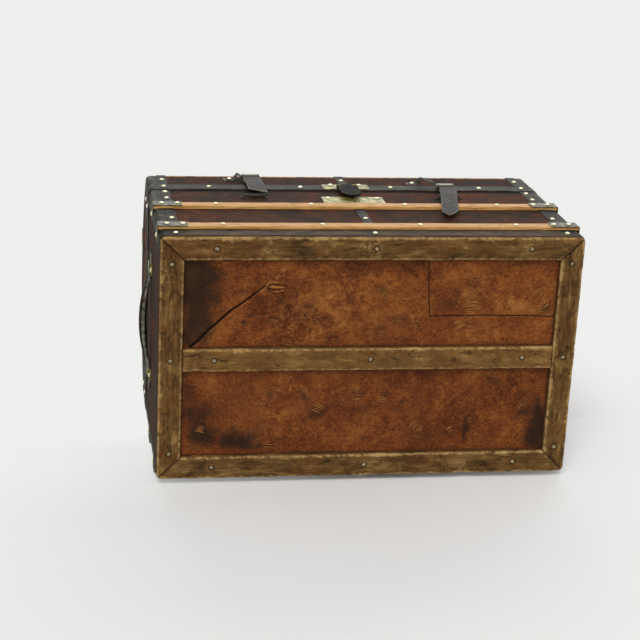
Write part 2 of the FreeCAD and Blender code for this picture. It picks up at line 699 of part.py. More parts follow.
def lid_bands():
    """Steel bands that rise from the rim band, cross the dome and come down the back."""
    inner, outer = half_depth, half_depth + dim.band_thickness
    inner_radius = dome_radius + dim.band_seat
    outer_radius = inner_radius + dim.band_thickness
    corners = [(-inner, rim_top), (-inner, dome_height(inner_radius, inner)),
               (inner, dome_height(inner_radius, inner)), (inner, rim_top),
               (outer, rim_top), (outer, dome_height(outer_radius, outer)),
               (-outer, dome_height(outer_radius, outer)), (-outer, rim_top)]
    bands = [prism(f"lid_band_{name}", "YZ", [(corners, {1: -inner_radius, 5: outer_radius})],
                   dim.band_width, (x - dim.band_width / 2, 0, 0)) for name, x in band_places.items()]
    return node("lid_bands", group("lid_bands", bands))


def dome_slats():
    bands = lid_bands()
    half = dim.slat_width / 2
    foot = root(dome_radius * dome_radius - half * half)
    crown = dome_radius + dim.slat_thickness
    corners = [(half, foot), (half, crown, dim.slat_round), (-half, crown, dim.slat_round), (-half, foot)]
    clamp_out = crown + dim.clamp_thickness
    return_end = dome_radius - dim.dome_clamp_return
    clamps = []
    for face, sign in FACES.items():
        tilt = dim.dome_slat_spread * -sign / dome_radius
        name = f"dome_slat_{face}"
        blank = prism(f"{name}_blank", "YZ", [(corners, {3: -dome_radius})], dim.trunk_length,
                      (-half_length, 0, dome_axis), tilt)
        node(name, cut(name, blank, bands))
        for side, sx in SIDES.items():
            end_out, leg_end = half_length + dim.clamp_thickness, half_length - dim.clamp_leg
            profile = [(end_out, clamp_out, dim.slat_round), (end_out, return_end),
                       (half_length, return_end), (half_length, crown), (leg_end, crown),
                       (leg_end, clamp_out)]
            profile = [(sx * x, *rest) for x, *rest in profile]
            clamps.append(prism(f"dome_clamp_{face}_{side}", "XZ", [(profile, None)], dim.clamp_width,
                                (0, 0, dome_axis), tilt, middle=True))
    node("lid_slat_clamps", group("lid_slat_clamps", clamps))


# Lock: plate, case and bolt on the body, hasp plate and hasp on the lid.

hasp_plate_face = dim.rim_band_thickness + dim.hasp_plate_thickness
hasp_axis_y = -half_depth - hasp_plate_face - dim.hasp_clearance - dim.hasp_knuckle_radius
nose_tip = -half_depth - dim.lock_plate_thickness - dim.nose_clearance
bolt_y = -half_depth + dim.bolt_set_back
bolt_low = dim.lock_height + dim.nose_lift - dim.bolt_size / 2


def keyhole(name, depth):
    """A round hole with a straight slot below it."""
    middle = dim.lock_height - dim.keyhole_drop
    slot = dim.keyhole_radius / 2
    low = middle - dim.keyhole_radius - dim.keyhole_slot
    corners = [(-slot, low), (slot, low), (slot, middle), (-slot, middle)]
    start = -half_depth - dim.lock_plate_thickness
    straight = prism(f"{name}_slot", "XZ", [(corners, None)], depth, (0, start, 0))
    hole = cylinder(f"{name}_hole", dim.keyhole_radius, depth, (0, start, middle), Vector(0, 1, 0))
    return fuse(name, straight, hole)


def nose_way(name, low_y, high_y):
    """Room for the hasp's nose to swing in."""
    half = dim.nose_width / 2 + dim.nose_slot_clearance
    rise = dim.nose_height / 2 + dim.nose_slot_clearance
    return box(name, (-half, low_y, dim.lock_height - rise),
               (half, high_y, dim.lock_height + rise + dim.nose_lift))


def lock():
    plate_half = dim.lock_plate_length / 2
    front = -half_depth - dim.lock_plate_thickness
    corners = [(x, height, dim.lock_plate_round) for x, height in
               ((-plate_half, upper_slat_top), (plate_half, upper_slat_top),
                (plate_half, lock_plate_top), (-plate_half, lock_plate_top))]
    blank = prism("lock_plate_blank", "XZ", [(corners, None)], dim.lock_plate_thickness, (0, front, 0))
    node("lock_plate", cut("lock_plate", blank, keyhole("plate_keyhole", dim.lock_plate_thickness),
                           nose_way("plate_slot", front, -half_depth)))
    case = box("lock_case_blank", *lock_case_box())
    gap = dim.bolt_clearance
    bolt_x = dim.nose_width / 2 + dim.nose_slot_clearance + gap
    bolt_end = (bolt_x + dim.bolt_length, bolt_y + dim.bolt_size, bolt_low + dim.bolt_size)
    channel = box("bolt_channel", (-bolt_x - dim.bolt_throw, -half_depth, bolt_low - gap),
                  tuple(end + gap for end in bolt_end))
    nose_room = nose_way("case_slot", -half_depth, bolt_y + dim.bolt_size + dim.nose_eye)
    key_room = keyhole("case_keyhole", dim.keyhole_depth)
    node("lock_case", cut("lock_case", case, channel, nose_room, key_room))
    node("lock_bolt", box("lock_bolt", (bolt_x, bolt_y, bolt_low), bolt_end))


def hasp_plate():
    """Plate on the rim band, with the two outer knuckles and the pin of the hasp's hinge."""
    plate_half = dim.hasp_plate_length / 2
    plate_back = -half_depth - dim.rim_band_thickness
    low, high = dim.hasp_plate_low, rim_top + dim.hasp_plate_margin
    corners = [(-plate_half, low, dim.lock_plate_round), (plate_half, low, dim.lock_plate_round),
               (plate_half, high, dim.lock_plate_round), (-plate_half, high, dim.lock_plate_round)]
    pieces = [prism("hasp_plate_sheet", "XZ", [(corners, None)], dim.hasp_plate_thickness,
                    (0, plate_back - dim.hasp_plate_thickness, 0))]
    inner = dim.hasp_knuckle_length / 2 + dim.knuckle_gap
    outer = inner + dim.hasp_plate_knuckle
    radius = dim.hasp_knuckle_radius
    for side, start in (("left", -outer), ("right", inner)):
        pieces.append(cylinder(f"hasp_plate_knuckle_{side}", radius, dim.hasp_plate_knuckle,
                               (start, hasp_axis_y, hasp_axis_height), Vector(1, 0, 0)))
        pieces.append(box(f"hasp_plate_web_{side}", (start, hasp_axis_y, hasp_axis_height - radius),
                          (start + dim.hasp_plate_knuckle, plate_back, hasp_axis_height + radius)))
    pieces.append(cylinder("hasp_pin", dim.hasp_pin_radius, outer * 2,
                           (-outer, hasp_axis_y, hasp_axis_height), Vector(1, 0, 0)))
    node("hasp_plate", fuse("hasp_plate", *pieces))


def hasp():
    """The hasp's strap with its knuckle, and the nose that the lock bolt catches."""
    half_knuckle = dim.hasp_knuckle_length / 2
    half = dim.hasp_width / 2
    shoulder = hasp_axis_height - dim.hasp_neck
    tip = dim.lock_height - dim.nose_rise
    flank = dim.lock_height + dim.nose_rise
    right = [(half / 2, tip, dim.nose_height), (half, flank), (half, shoulder - dim.hasp_shoulder),
             (half_knuckle, shoulder), (half_knuckle, hasp_axis_height)]
    left = [(-x, height, *rounding) for x, height, *rounding in reversed(right)]
    back = hasp_axis_y - dim.hasp_knuckle_radius + dim.hasp_thickness
    leaf = prism("hasp_leaf", "XZ", [(right + left, None)], dim.hasp_thickness,
                 (0, back - dim.hasp_thickness, 0))
    start = (-half_knuckle, hasp_axis_y, hasp_axis_height)
    knuckle = cylinder("hasp_knuckle", dim.hasp_knuckle_radius, dim.hasp_knuckle_length, start,
                       Vector(1, 0, 0))
    nose = box("hasp_nose", (-dim.nose_width / 2, back, dim.lock_height - dim.nose_height / 2),
               (dim.nose_width / 2, nose_tip, dim.lock_height + dim.nose_height / 2))
    eye_back = nose_tip - dim.nose_web
    eye = box("nose_eye", (-dim.nose_width, eye_back - dim.nose_eye, dim.lock_height - dim.nose_eye / 2),
              (dim.nose_width, eye_back, dim.lock_height + dim.nose_eye / 2))
    bore = cylinder("hasp_bore", dim.hasp_pin_radius + dim.hinge_pin_clearance,
                    dim.hasp_knuckle_length, start, Vector(1, 0, 0))
    node("hasp", cut("hasp", fuse("hasp_body", leaf, knuckle, nose), eye, bore))


# Straps: keepers nailed to the lid, the folds round them, hanging tongues, metal loops on the body.

keeper_lows = {"left": rim_top + dim.keeper_rise, "right": rim_top + dim.keeper_rise - dim.right_strap_drop}
keeper_reach = {"left": dim.left_keeper_reach, "right": dim.right_keeper_reach}
keeper_lift = {"left": dim.left_keeper_lift, "right": dim.right_keeper_lift}
strap_places = {side: sign * dim.strap_spread + dim.strap_slip for side, sign in SIDES.items()}
strap_back = dim.rim_band_thickness + dim.strap_seat
keeper_back = strap_back + dim.strap_thickness + dim.strap_play
fold_front = keeper_back + dim.keeper_thickness + dim.strap_play


def bridge(half_inside, rise, metal, foot):
    """Outline of a strip that lies on a face, steps over something and lies on the face again:
    (distance along the face, distance out from it)."""
    wall = half_inside + metal
    right = [(half_inside, 0), (wall + foot, 0), (wall + foot, metal), (wall, metal), (wall, rise + metal)]
    left = [(-along, out) for along, out in reversed(right)]
    return right + left + [(-half_inside, rise), (half_inside, rise)]


def bridge_on_front(name, outline_points, width, x, height):
    """A bridge that spans along X on the front."""
    plan = [(along, -out) for along, out in outline_points]
    return prism(name, "XY", [(plan, None)], width, (x, -half_depth, height))


def straps():
    keepers, folds = [], []
    for side, x in strap_places.items():
        keepers.append(keeper(side, x))
        folds.append(strap_fold(f"strap_fold_{side}", x, keeper_lows[side]))
        tongue(side, x)
    node("strap_keepers", group("strap_keepers", keepers))
    node("strap_folds", group("strap_folds", folds))


def keeper(side, x):
    """A leather strip nailed to the lid at its left end. It arches out, and its right end lies in the
    strap's fold."""
    low, lift, reach, width = keeper_lows[side], keeper_lift[side], keeper_reach[side], dim.keeper_width
    start, end = -reach - dim.keeper_nail_inset, dim.strap_width / 2 - dim.keeper_end
    foot = start + dim.keeper_foot
    entry = -dim.strap_width / 2 - dim.keeper_entry
    crest, fall = foot + dim.keeper_rise_run, entry - dim.keeper_fall_run
    lap, thickness = dim.keeper_lap, dim.keeper_thickness
    under = [(start, 0), (foot, 0), (crest, dim.keeper_arch), (fall, dim.keeper_arch), (entry, keeper_back),
             (end, keeper_back)]
    over = [(start, 0), (foot - lap, 0), (crest - lap, dim.keeper_arch), (fall + lap, dim.keeper_arch),
            (entry + lap, keeper_back), (end, keeper_back)]
    profile = [(along, -out) for along, out in under]
    profile += [(along, -out - thickness) for along, out in reversed(over)]
    outline_points = [(start, low + lift), (start, low + lift + width), (foot, low + lift + width),
                      (entry, low + width), (end, low + width), (end, low), (fall - lap, low),
                      (foot - lap, low + lift)]
    name, out = f"strap_keeper_{side}", dim.keeper_arch + thickness
    strip = prism(f"{name}_strip", "XY", [(profile, None)], lift + width, (x, -half_depth, low))
    return common(name, strip, prism(f"{name}_plan", "XZ", [(outline_points, None)], out,
                                     (x, -half_depth - out, 0)))


def strap_fold(name, x, low_edge):
    """The strap's end, wrapped round its keeper and sewn to itself below it."""
    thickness, play = dim.strap_thickness, dim.strap_play
    low, top = low_edge - dim.strap_fold_drop, low_edge + dim.keeper_width + play
    back, front = -strap_back, -fold_front - thickness
    outer = [(back, low), (back, top + thickness, thickness), (front, top + thickness, thickness),
             (front, low)]
    hole = [(back - thickness, low_edge - play), (back - thickness, top), (-fold_front, top),
            (-fold_front, low_edge - play)]
    return prism(name, "YZ", [(outer, None), (hole, None)], dim.strap_width,
                 (x - dim.strap_width / 2, -half_depth, 0))


def tongue(side, x):
    """A strap's loose end. It stands off a little below its fold and is cut aslant."""
    top = keeper_lows[side] - dim.strap_fold_drop - dim.tongue_gap
    bend = top - dim.tongue_kick_drop
    half = dim.strap_width / 2
    if side == "left":
        tip = dim.strap_loop_height + dim.short_tongue_tip
        left_end = -half
        end_points = [(left_end, tip + dim.short_tongue_slant), (half, tip)]
    else:
        tip = dim.strap_loop_height - dim.long_tongue_drop
        left_end = -half - dim.long_tongue_lean
        end_points = [(left_end, tip + dim.long_tongue_shoulder), (left_end + dim.long_tongue_nose, tip),
                      (half - dim.long_tongue_lean, tip + dim.long_tongue_slant)]
    thickness, back, out = dim.strap_thickness, fold_front, fold_front + dim.tongue_kick
    corners = [(-back, top), (-out, bend), (-out, tip), (-out - thickness, tip),
               (-out - thickness, bend), (-back - thickness, top)]
    reach = out + thickness
    blank = prism(f"strap_tongue_{side}_blank", "YZ", [(corners, None)], half - left_end,
                  (x + left_end, -half_depth, 0))
    outline_points = [(-half, top), *end_points, (half, top)]
    plan = prism(f"strap_tongue_{side}_plan", "XZ", [(outline_points, None)], reach,
                 (x, -half_depth - reach, 0))
    node(f"strap_tongue_{side}", common(f"strap_tongue_{side}", blank, plan))


def strap_loops():
    """Flat metal loops that stand off the body for a strap to pass through."""
    plan = bridge(dim.strap_loop_span / 2, dim.strap_loop_clear, dim.strap_loop_thickness,
                  dim.strap_loop_foot)
    loops = [bridge_on_front(f"strap_loop_{side}", plan, dim.strap_loop_width, sign * dim.strap_spread,
                             dim.strap_loop_height) for side, sign in SIDES.items()]
    node("strap_loops", group("strap_loops", loops))


# Handles: one leather strap on each end. Its grip rocks a little on its soft ends, which pass
# through metal loops and show beyond them.


def bow_radius(half_chord, rise):
    return (half_chord * half_chord + rise * rise) / (rise * 2)


def handles():
    ends, loops = [], []
    half = dim.handle_width / 2
    low, high = dim.handle_height - half, dim.handle_height + half
    reach, tab = dim.handle_reach, dim.handle_reach + dim.handle_loop_width + dim.handle_tab
    for side, sx in SIDES.items():
        whole = whole_handle(side, sx, reach, tab, low)
        x_low, x_high = between(sx * half_length, sx * (half_length + dim.handle_bulge))
        grip = dim.grip_half_length
        grip_room = box(f"grip_room_{side}", (x_low, -grip, low), (x_high, grip, high))
        node(f"handle_grip_{side}", common(f"handle_grip_{side}", whole, grip_room))
        for face, sy in FACES.items():
            y_low, y_high = between(sy * (grip + dim.grip_gap), sy * tab)
            room = box(f"handle_end_room_{side}_{face}", (x_low, y_low, low), (x_high, y_high, high))
            ends.append(common(f"handle_end_{side}_{face}", whole, room))
            start, _ = between(sy * reach, sy * (reach + dim.handle_loop_width))
            loops.append(handle_loop(f"handle_loop_{side}_{face}", sx, start))
    node("handle_ends", group("handle_ends", ends))
    node("handle_loops", group("handle_loops", loops))


def whole_handle(side, sx, reach, tab, low):
    """The strap's plan: flat at its loops and ends, bowed out between them, thickest in the middle."""
    inner, outer = dim.handle_seat, dim.handle_seat + dim.handle_thickness
    corners = [(inner, -tab), (outer, -tab), (outer, -reach), (outer, reach), (outer, tab), (inner, tab),
               (inner, reach), (inner, -reach)]
    corners = [(sx * (half_length + x), y) for x, y in corners]
    arcs = {2: sx * bow_radius(reach, dim.handle_bulge - outer),
            6: -sx * bow_radius(reach, dim.handle_gap - inner)}
    whole = prism(f"handle_{side}_whole", "XY", [(corners, arcs)], dim.handle_width, (0, 0, low))
    bevel_handle(whole)
    return whole


def bevel_handle(whole):
    doc.recompute()
    along = [f"Edge{i}" for i, edge in enumerate(whole.Shape.Edges, start=1)
             if edge.BoundBox.ZLength < FLAT and edge.BoundBox.YLength > dim.handle_loop_width.value]
    bevel(whole, along, dim.handle_bevel)


def handle_loop(name, sx, start):
    """A metal bridge over the handle, with a foot above and below."""
    rise = dim.handle_seat + dim.handle_thickness + dim.handle_loop_clearance
    profile = bridge(dim.handle_width / 2 + dim.handle_loop_clearance, rise, dim.handle_loop_thickness,
                     dim.handle_loop_foot)
    corners = [(sx * (half_length + out), along) for along, out in profile]
    return prism(name, "XZ", [(corners, None)], dim.handle_loop_width, (0, start, dim.handle_height))


# Back hinges.

hinge_half = dim.hinge_lid_knuckle / 2 + dim.knuckle_gap + dim.hinge_body_knuckle


def back_hinges():
    """Two leaf hinges. Each has two knuckles on the body, one on the lid, and a pin."""
    axis_y = half_depth + dim.rim_band_thickness + dim.hinge_clearance + dim.hinge_knuckle_radius
    axis_z = dim.parting_height + dim.lid_gap / 2
    body_leaves, lid_leaves, pins = [], [], []
    for side, sign in SIDES.items():
        x = sign * dim.hinge_spread
        body_leaves.append(hinge_body_leaf(side, x, axis_y, axis_z))
        lid_leaves.append(hinge_lid_leaf(side, x, axis_y, axis_z))
        pins.append(cylinder(f"hinge_pin_{side}", dim.hinge_pin_radius, hinge_half * 2,
                             (x - hinge_half, axis_y, axis_z), Vector(1, 0, 0)))
    node("hinge_body_leaves", group("hinge_body_leaves", body_leaves))
    node("hinge_lid_leaves", group("hinge_lid_leaves", lid_leaves))
    node("hinge_pins", group("hinge_pins", pins))


def hinge_body_leaf(side, x, axis_y, axis_z):
    """A plate on the back, and at each end a web that carries a knuckle."""
    radius, length = dim.hinge_knuckle_radius, dim.hinge_body_knuckle
    plate_top = axis_z - radius - dim.hinge_clearance
    web_top = dim.parting_height - dim.hinge_clearance
    pieces = [box(f"hinge_body_plate_{side}", (x - hinge_half, half_depth, axis_z - dim.hinge_body_leaf),
                  (x + hinge_half, half_depth + dim.hinge_leaf_thickness, plate_top))]
    for k, start in enumerate((x - hinge_half, x + hinge_half - length)):
        pieces.append(box(f"hinge_body_web_{side}_{k}", (start, half_depth, plate_top),
                          (start + length, axis_y, web_top)))
        pieces.append(cylinder(f"hinge_body_knuckle_{side}_{k}", radius, length, (start, axis_y, axis_z),
                               Vector(1, 0, 0)))
    pin_room = cylinder(f"hinge_pin_room_{side}", dim.hinge_pin_radius, hinge_half * 2,
                        (x - hinge_half, axis_y, axis_z), Vector(1, 0, 0))
    return cut(f"hinge_body_leaf_{side}", fuse(f"hinge_body_leaf_{side}_solid", *pieces), pin_room)


def hinge_lid_leaf(side, x, axis_y, axis_z):
    """A plate on the rim band, and in its middle a web that carries the knuckle."""
    radius, half = dim.hinge_knuckle_radius, dim.hinge_lid_knuckle / 2
    face = half_depth + dim.rim_band_thickness
    plate_low = axis_z + radius + dim.hinge_clearance
    web_low = dim.parting_height + dim.lid_gap + dim.hinge_clearance
    pieces = [
        box(f"hinge_lid_plate_{side}", (x - hinge_half, face, plate_low),
            (x + hinge_half, face + dim.hinge_leaf_thickness, axis_z + dim.hinge_lid_leaf)),
        box(f"hinge_lid_web_{side}", (x - half, face, web_low), (x + half, axis_y, plate_low)),
        cylinder(f"hinge_lid_knuckle_{side}", radius, half * 2, (x - half, axis_y, axis_z),
                 Vector(1, 0, 0)),
    ]
    bore = cylinder(f"hinge_lid_bore_{side}", dim.hinge_pin_radius + dim.hinge_pin_clearance, half * 2,
                    (x - half, axis_y, axis_z), Vector(1, 0, 0))
    return cut(f"hinge_lid_leaf_{side}", fuse(f"hinge_lid_leaf_{side}_solid", *pieces), bore)


# Brass nails. Each is a low crowned head that lies on the piece it holds.


def crowned_head(radius, crown):
    """A low head with flat facets, its face down on the XY plane."""
    turns = [2 * math.pi * k / HEAD_FACETS for k in range(HEAD_FACETS + 1)]
    rim = [Vector(radius * math.cos(turn), radius * math.sin(turn), 0) for turn in turns]
    peak = Vector(0, 0, crown)
    faces = [Part.Face(Part.makePolygon(rim))]
    faces += [Part.Face(Part.makePolygon([start, end, peak, start])) for start, end in zip(rim, rim[1:])]
    return Part.Solid(Part.Shell(faces))


def set_head(head, x, y, height, direction):
    """A copy of a head, standing on a point and facing a direction."""
    point = Vector(*(size(v).value for v in (x, y, height)))
    placed = head.copy()
    placed.Placement = Placement(point, Rotation(Vector(0, 0, 1), direction))
    return placed


def nail(x, y, height, direction):
    head = crowned_head(dim.nail_radius.value, dim.nail_crown.value)
    return set_head(head, x, y, height, direction)


def row_of_nails():
    return [dim.nail_pitch * (k - (NAILS_PER_ROW - 1) / 2) for k in range(NAILS_PER_ROW)]


def clamp_nail_places():
    first = half_length - dim.clamp_nail_inset
    return [sign * (first - k * dim.clamp_nail_pitch) for sign in SIDES.values() for k in (0, 1)]


def body_nails():
    heads = []
    for sign in FACES.values():
        out = Vector(0, sign, 0)
        slat_face = sign * (half_depth + dim.slat_thickness)
        band_face = sign * (half_depth + dim.band_thickness)
        for height in slat_heights.values():
            middle = height + dim.slat_width / 2
            heads += [nail(x, slat_face, middle, out) for x in row_of_nails()]
            heads += [nail(x, sign * (half_depth + dim.slat_thickness + dim.clamp_thickness), middle, out)
                      for x in clamp_nail_places()]
            end_y = sign * (half_depth - dim.clamp_return / 2)
            heads += [nail(s * (half_length + dim.binding_thickness + dim.clamp_thickness), end_y, middle,
                           Vector(s, 0, 0)) for s in SIDES.values()]
        rows = [dim.band_foot_height + dim.band_nail_foot,
                dim.lower_slat_height + dim.slat_width + dim.band_nail_rise]
        upper_rows = [upper_slat_top + dim.band_nail_rise, covering_top - dim.band_nail_drop]
        for name, x in band_places.items():
            heights = rows if name == "centre" else rows + upper_rows
            heads += [nail(x, band_face, height, out) for height in heights]
    for s in SIDES.values():
        x = s * (dim.lock_plate_length / 2 - dim.plate_nail_inset)
        heads.append(nail(x, -half_depth - dim.lock_plate_thickness, lock_plate_top - dim.plate_nail_inset,
                          Vector(0, -1, 0)))
    foot = (dim.handle_width / 2 + dim.handle_loop_clearance + dim.handle_loop_thickness
            + dim.handle_loop_foot / 2)
    loop_y = dim.handle_reach + dim.handle_loop_width / 2
    for s in SIDES.values():
        x = s * (half_length + dim.handle_loop_thickness)
        heads += [nail(x, sy * loop_y, dim.handle_height + sz * foot, Vector(s, 0, 0))
                  for sy in (-1, 1) for sz in (-1, 1)]
    node("body_nails", solids("body_nails", heads))


def lid_nails():
    heads = []
    rim_middle = (lid_bottom + rim_top) / 2
    for sign in FACES.values():
        out = Vector(0, sign, 0)
        rim_face = sign * (half_depth + dim.rim_band_thickness)
        places = row_of_nails() + [-dim.band_spread, dim.band_spread]
        heads += [nail(x, rim_face, rim_middle, out) for x in places]
        band_face = sign * (half_depth + dim.band_thickness)
        shoulder_middle = (rim_top + dim.shoulder_height) / 2
        heads += [nail(x, band_face, shoulder_middle, out) for x in band_places.values()]
        slope = dim.dome_slat_spread / dome_radius
        upright = root(1 - slope * slope)
        lean = Vector(0, sign * slope.value, upright.value)
        for rise, places in ((dim.slat_thickness, row_of_nails()),
                             (dim.slat_thickness + dim.clamp_thickness, clamp_nail_places())):
            radius = dome_radius + rise
            heads += [nail(x, sign * slope * radius, dome_axis + upright * radius, lean) for x in places]
        radius = dome_radius - dim.dome_clamp_return / 2
        heads += [nail(s * (half_length + dim.clamp_thickness), sign * slope * radius,
                       dome_axis + upright * radius, Vector(s, 0, 0)) for s in SIDES.values()]
        for s in SIDES.values():
            cap_y = sign * (half_depth - dim.cap_end_leg / 2)
            heads += [nail(s * (half_length + dim.rim_band_thickness), cap_y, rim_middle, Vector(s, 0, 0)),
                      nail(s * (half_length + dim.binding_thickness), cap_y, rim_top + dim.rim_band_height,
                           Vector(s, 0, 0))]
    plate_face = -half_depth - hasp_plate_face
    plate_nail_x = dim.hasp_plate_length / 2 - dim.hasp_nail_inset
    plate_nail_height = rim_top + dim.hasp_plate_margin - dim.nail_radius - dim.hasp_plate_thickness
    heads += [nail(s * plate_nail_x, plate_face, plate_nail_height, Vector(0, -1, 0))
              for s in SIDES.values()]
    heads += [nail(x - keeper_reach[side], -half_depth - dim.keeper_thickness,
                   keeper_lows[side] + keeper_lift[side] + dim.keeper_width / 2, Vector(0, -1, 0))
              for side, x in strap_places.items()]
    node("lid_nails", solids("lid_nails", heads))


def write_parts():
    doc.recompute()
    for thing in doc.Objects:
        if {"Invalid", "Error"} & set(thing.State):
            raise RuntimeError(f"{thing.Label} failed: {thing.State}")
    for label, thing in nodes.items():
        if thing.Shape.isNull() or not thing.Shape.isValid():
            raise RuntimeError(f"{label} has no valid shape")
    os.makedirs("parts", exist_ok=True)
    for label, thing in nodes.items():
        thing.Shape.exportStep(f"parts/{label}.step")


bottom()
carcass()
slats_and_trim()
body_clamps()
lid_carcass()
lid_coverings()
dome_slats()
lock()
hasp_plate()
hasp()
straps()
strap_loops()
handles()
back_hinges()
body_nails()
lid_nails()
write_parts()
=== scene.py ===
import itertools
import json
import math
import random

import bpy
import numpy as np
from mathutils import Matrix, Vector


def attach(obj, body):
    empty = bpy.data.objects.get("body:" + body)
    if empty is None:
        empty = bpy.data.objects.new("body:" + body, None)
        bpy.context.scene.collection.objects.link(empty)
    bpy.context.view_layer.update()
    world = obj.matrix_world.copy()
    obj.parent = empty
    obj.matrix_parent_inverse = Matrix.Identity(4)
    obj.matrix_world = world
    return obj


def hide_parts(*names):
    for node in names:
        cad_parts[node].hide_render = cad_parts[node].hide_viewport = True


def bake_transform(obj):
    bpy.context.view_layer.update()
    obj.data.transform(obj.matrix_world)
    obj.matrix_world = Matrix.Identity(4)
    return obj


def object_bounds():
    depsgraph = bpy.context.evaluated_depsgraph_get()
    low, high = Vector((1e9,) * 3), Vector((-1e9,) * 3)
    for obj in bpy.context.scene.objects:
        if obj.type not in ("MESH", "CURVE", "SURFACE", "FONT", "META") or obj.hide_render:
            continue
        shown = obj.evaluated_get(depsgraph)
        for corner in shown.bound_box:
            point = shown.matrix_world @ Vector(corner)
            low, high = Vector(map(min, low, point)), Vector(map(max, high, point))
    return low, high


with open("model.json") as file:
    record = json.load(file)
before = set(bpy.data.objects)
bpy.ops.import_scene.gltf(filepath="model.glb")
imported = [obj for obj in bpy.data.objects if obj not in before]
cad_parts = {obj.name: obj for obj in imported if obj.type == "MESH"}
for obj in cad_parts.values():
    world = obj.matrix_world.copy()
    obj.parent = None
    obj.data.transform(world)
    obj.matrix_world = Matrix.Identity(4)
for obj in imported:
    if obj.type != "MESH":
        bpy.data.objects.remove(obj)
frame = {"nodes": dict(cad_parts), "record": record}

MM = 0.001
LENGTH, DEPTH = 810 * MM, 485 * MM
END, FRONT = LENGTH / 2, DEPTH / 2
CORNER = 9.5 * MM
SIDES = {"left": -1, "right": 1}

cad_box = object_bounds()
nodes = frame["nodes"]


# Smooth noise for shapes.

LARGEST = 0x7FFFFFFF


def lattice(cell, seed):
    """Numbers from 0 to 1 that look random, one for each cell of a grid."""
    x, y, z = np.moveaxis(cell, -1, 0)
    mixed = (x * 73856093) ^ (y * 19349663) ^ (z * 83492791) ^ (seed * 265443)
    return (((mixed ^ (mixed >> 13)) * 1274126177) & LARGEST) / LARGEST


def field(points, size, seed=0):
    """Smooth noise from 0 to 1 at an array of points, with lumps of the given size."""
    place = np.asarray(points, float) / size + 1000
    cell = np.floor(place).astype(np.int64)
    share = place - cell
    share = share * share * (3 - 2 * share)
    total = np.zeros(place.shape[:-1])
    for corner in itertools.product((0, 1), repeat=3):
        weight = np.prod(np.where(corner, share, 1 - share), axis=-1)
        total += weight * lattice(cell + corner, seed)
    return total


def nearby(away, width):
    """1 where away is 0, falling smoothly to nearly 0 at twice the width."""
    return np.exp(-(away / width) ** 2)


# Shader nodes. Materials are procedural, in each piece's own coordinates.

def connect(tree, socket, value):
    """Feeds a socket from another node's socket, or gives it a plain value."""
    if isinstance(value, bpy.types.NodeSocket):
        tree.links.new(value, socket)
    else:
        socket.default_value = value


def new_node(tree, kind, inputs=None, **settings):
    made = tree.nodes.new(kind)
    for key, value in settings.items():
        setattr(made, key, value)
    for key, value in (inputs or {}).items():
        connect(tree, made.inputs[key], value)
    return made


def looked_at(tree):
    """1 for rays that show something to the camera, and 0 for those that carry its light to others."""
    rays = new_node(tree, "ShaderNodeLightPath").outputs
    share = rays["Is Transmission Ray"]
    for kind in ("Is Glossy Ray", "Is Camera Ray"):
        share = new_node(tree, "ShaderNodeMath", {0: rays[kind], 1: share}, operation="MAXIMUM").outputs[0]
    return share


def show(tree, share, hidden, shown):
    """Makes the tree's result the shader shown where share is 1, and the hidden one where it is 0."""
    mixed = new_node(tree, "ShaderNodeMixShader", {0: share, 1: hidden.outputs[0], 2: shown.outputs[0]})
    output = [node for node in tree.nodes if node.type in ("OUTPUT_MATERIAL", "OUTPUT_WORLD")][0]
    tree.links.new(mixed.outputs[0], output.inputs["Surface"])


def rgb(red, green, blue):
    """A colour given in 0 to 255, as it should look on the screen."""
    linear = [((c / 255 + 0.055) / 1.055) ** 2.4 if c > 10 else c / 255 / 12.92 for c in (red, green, blue)]
    return (*linear, 1.0)


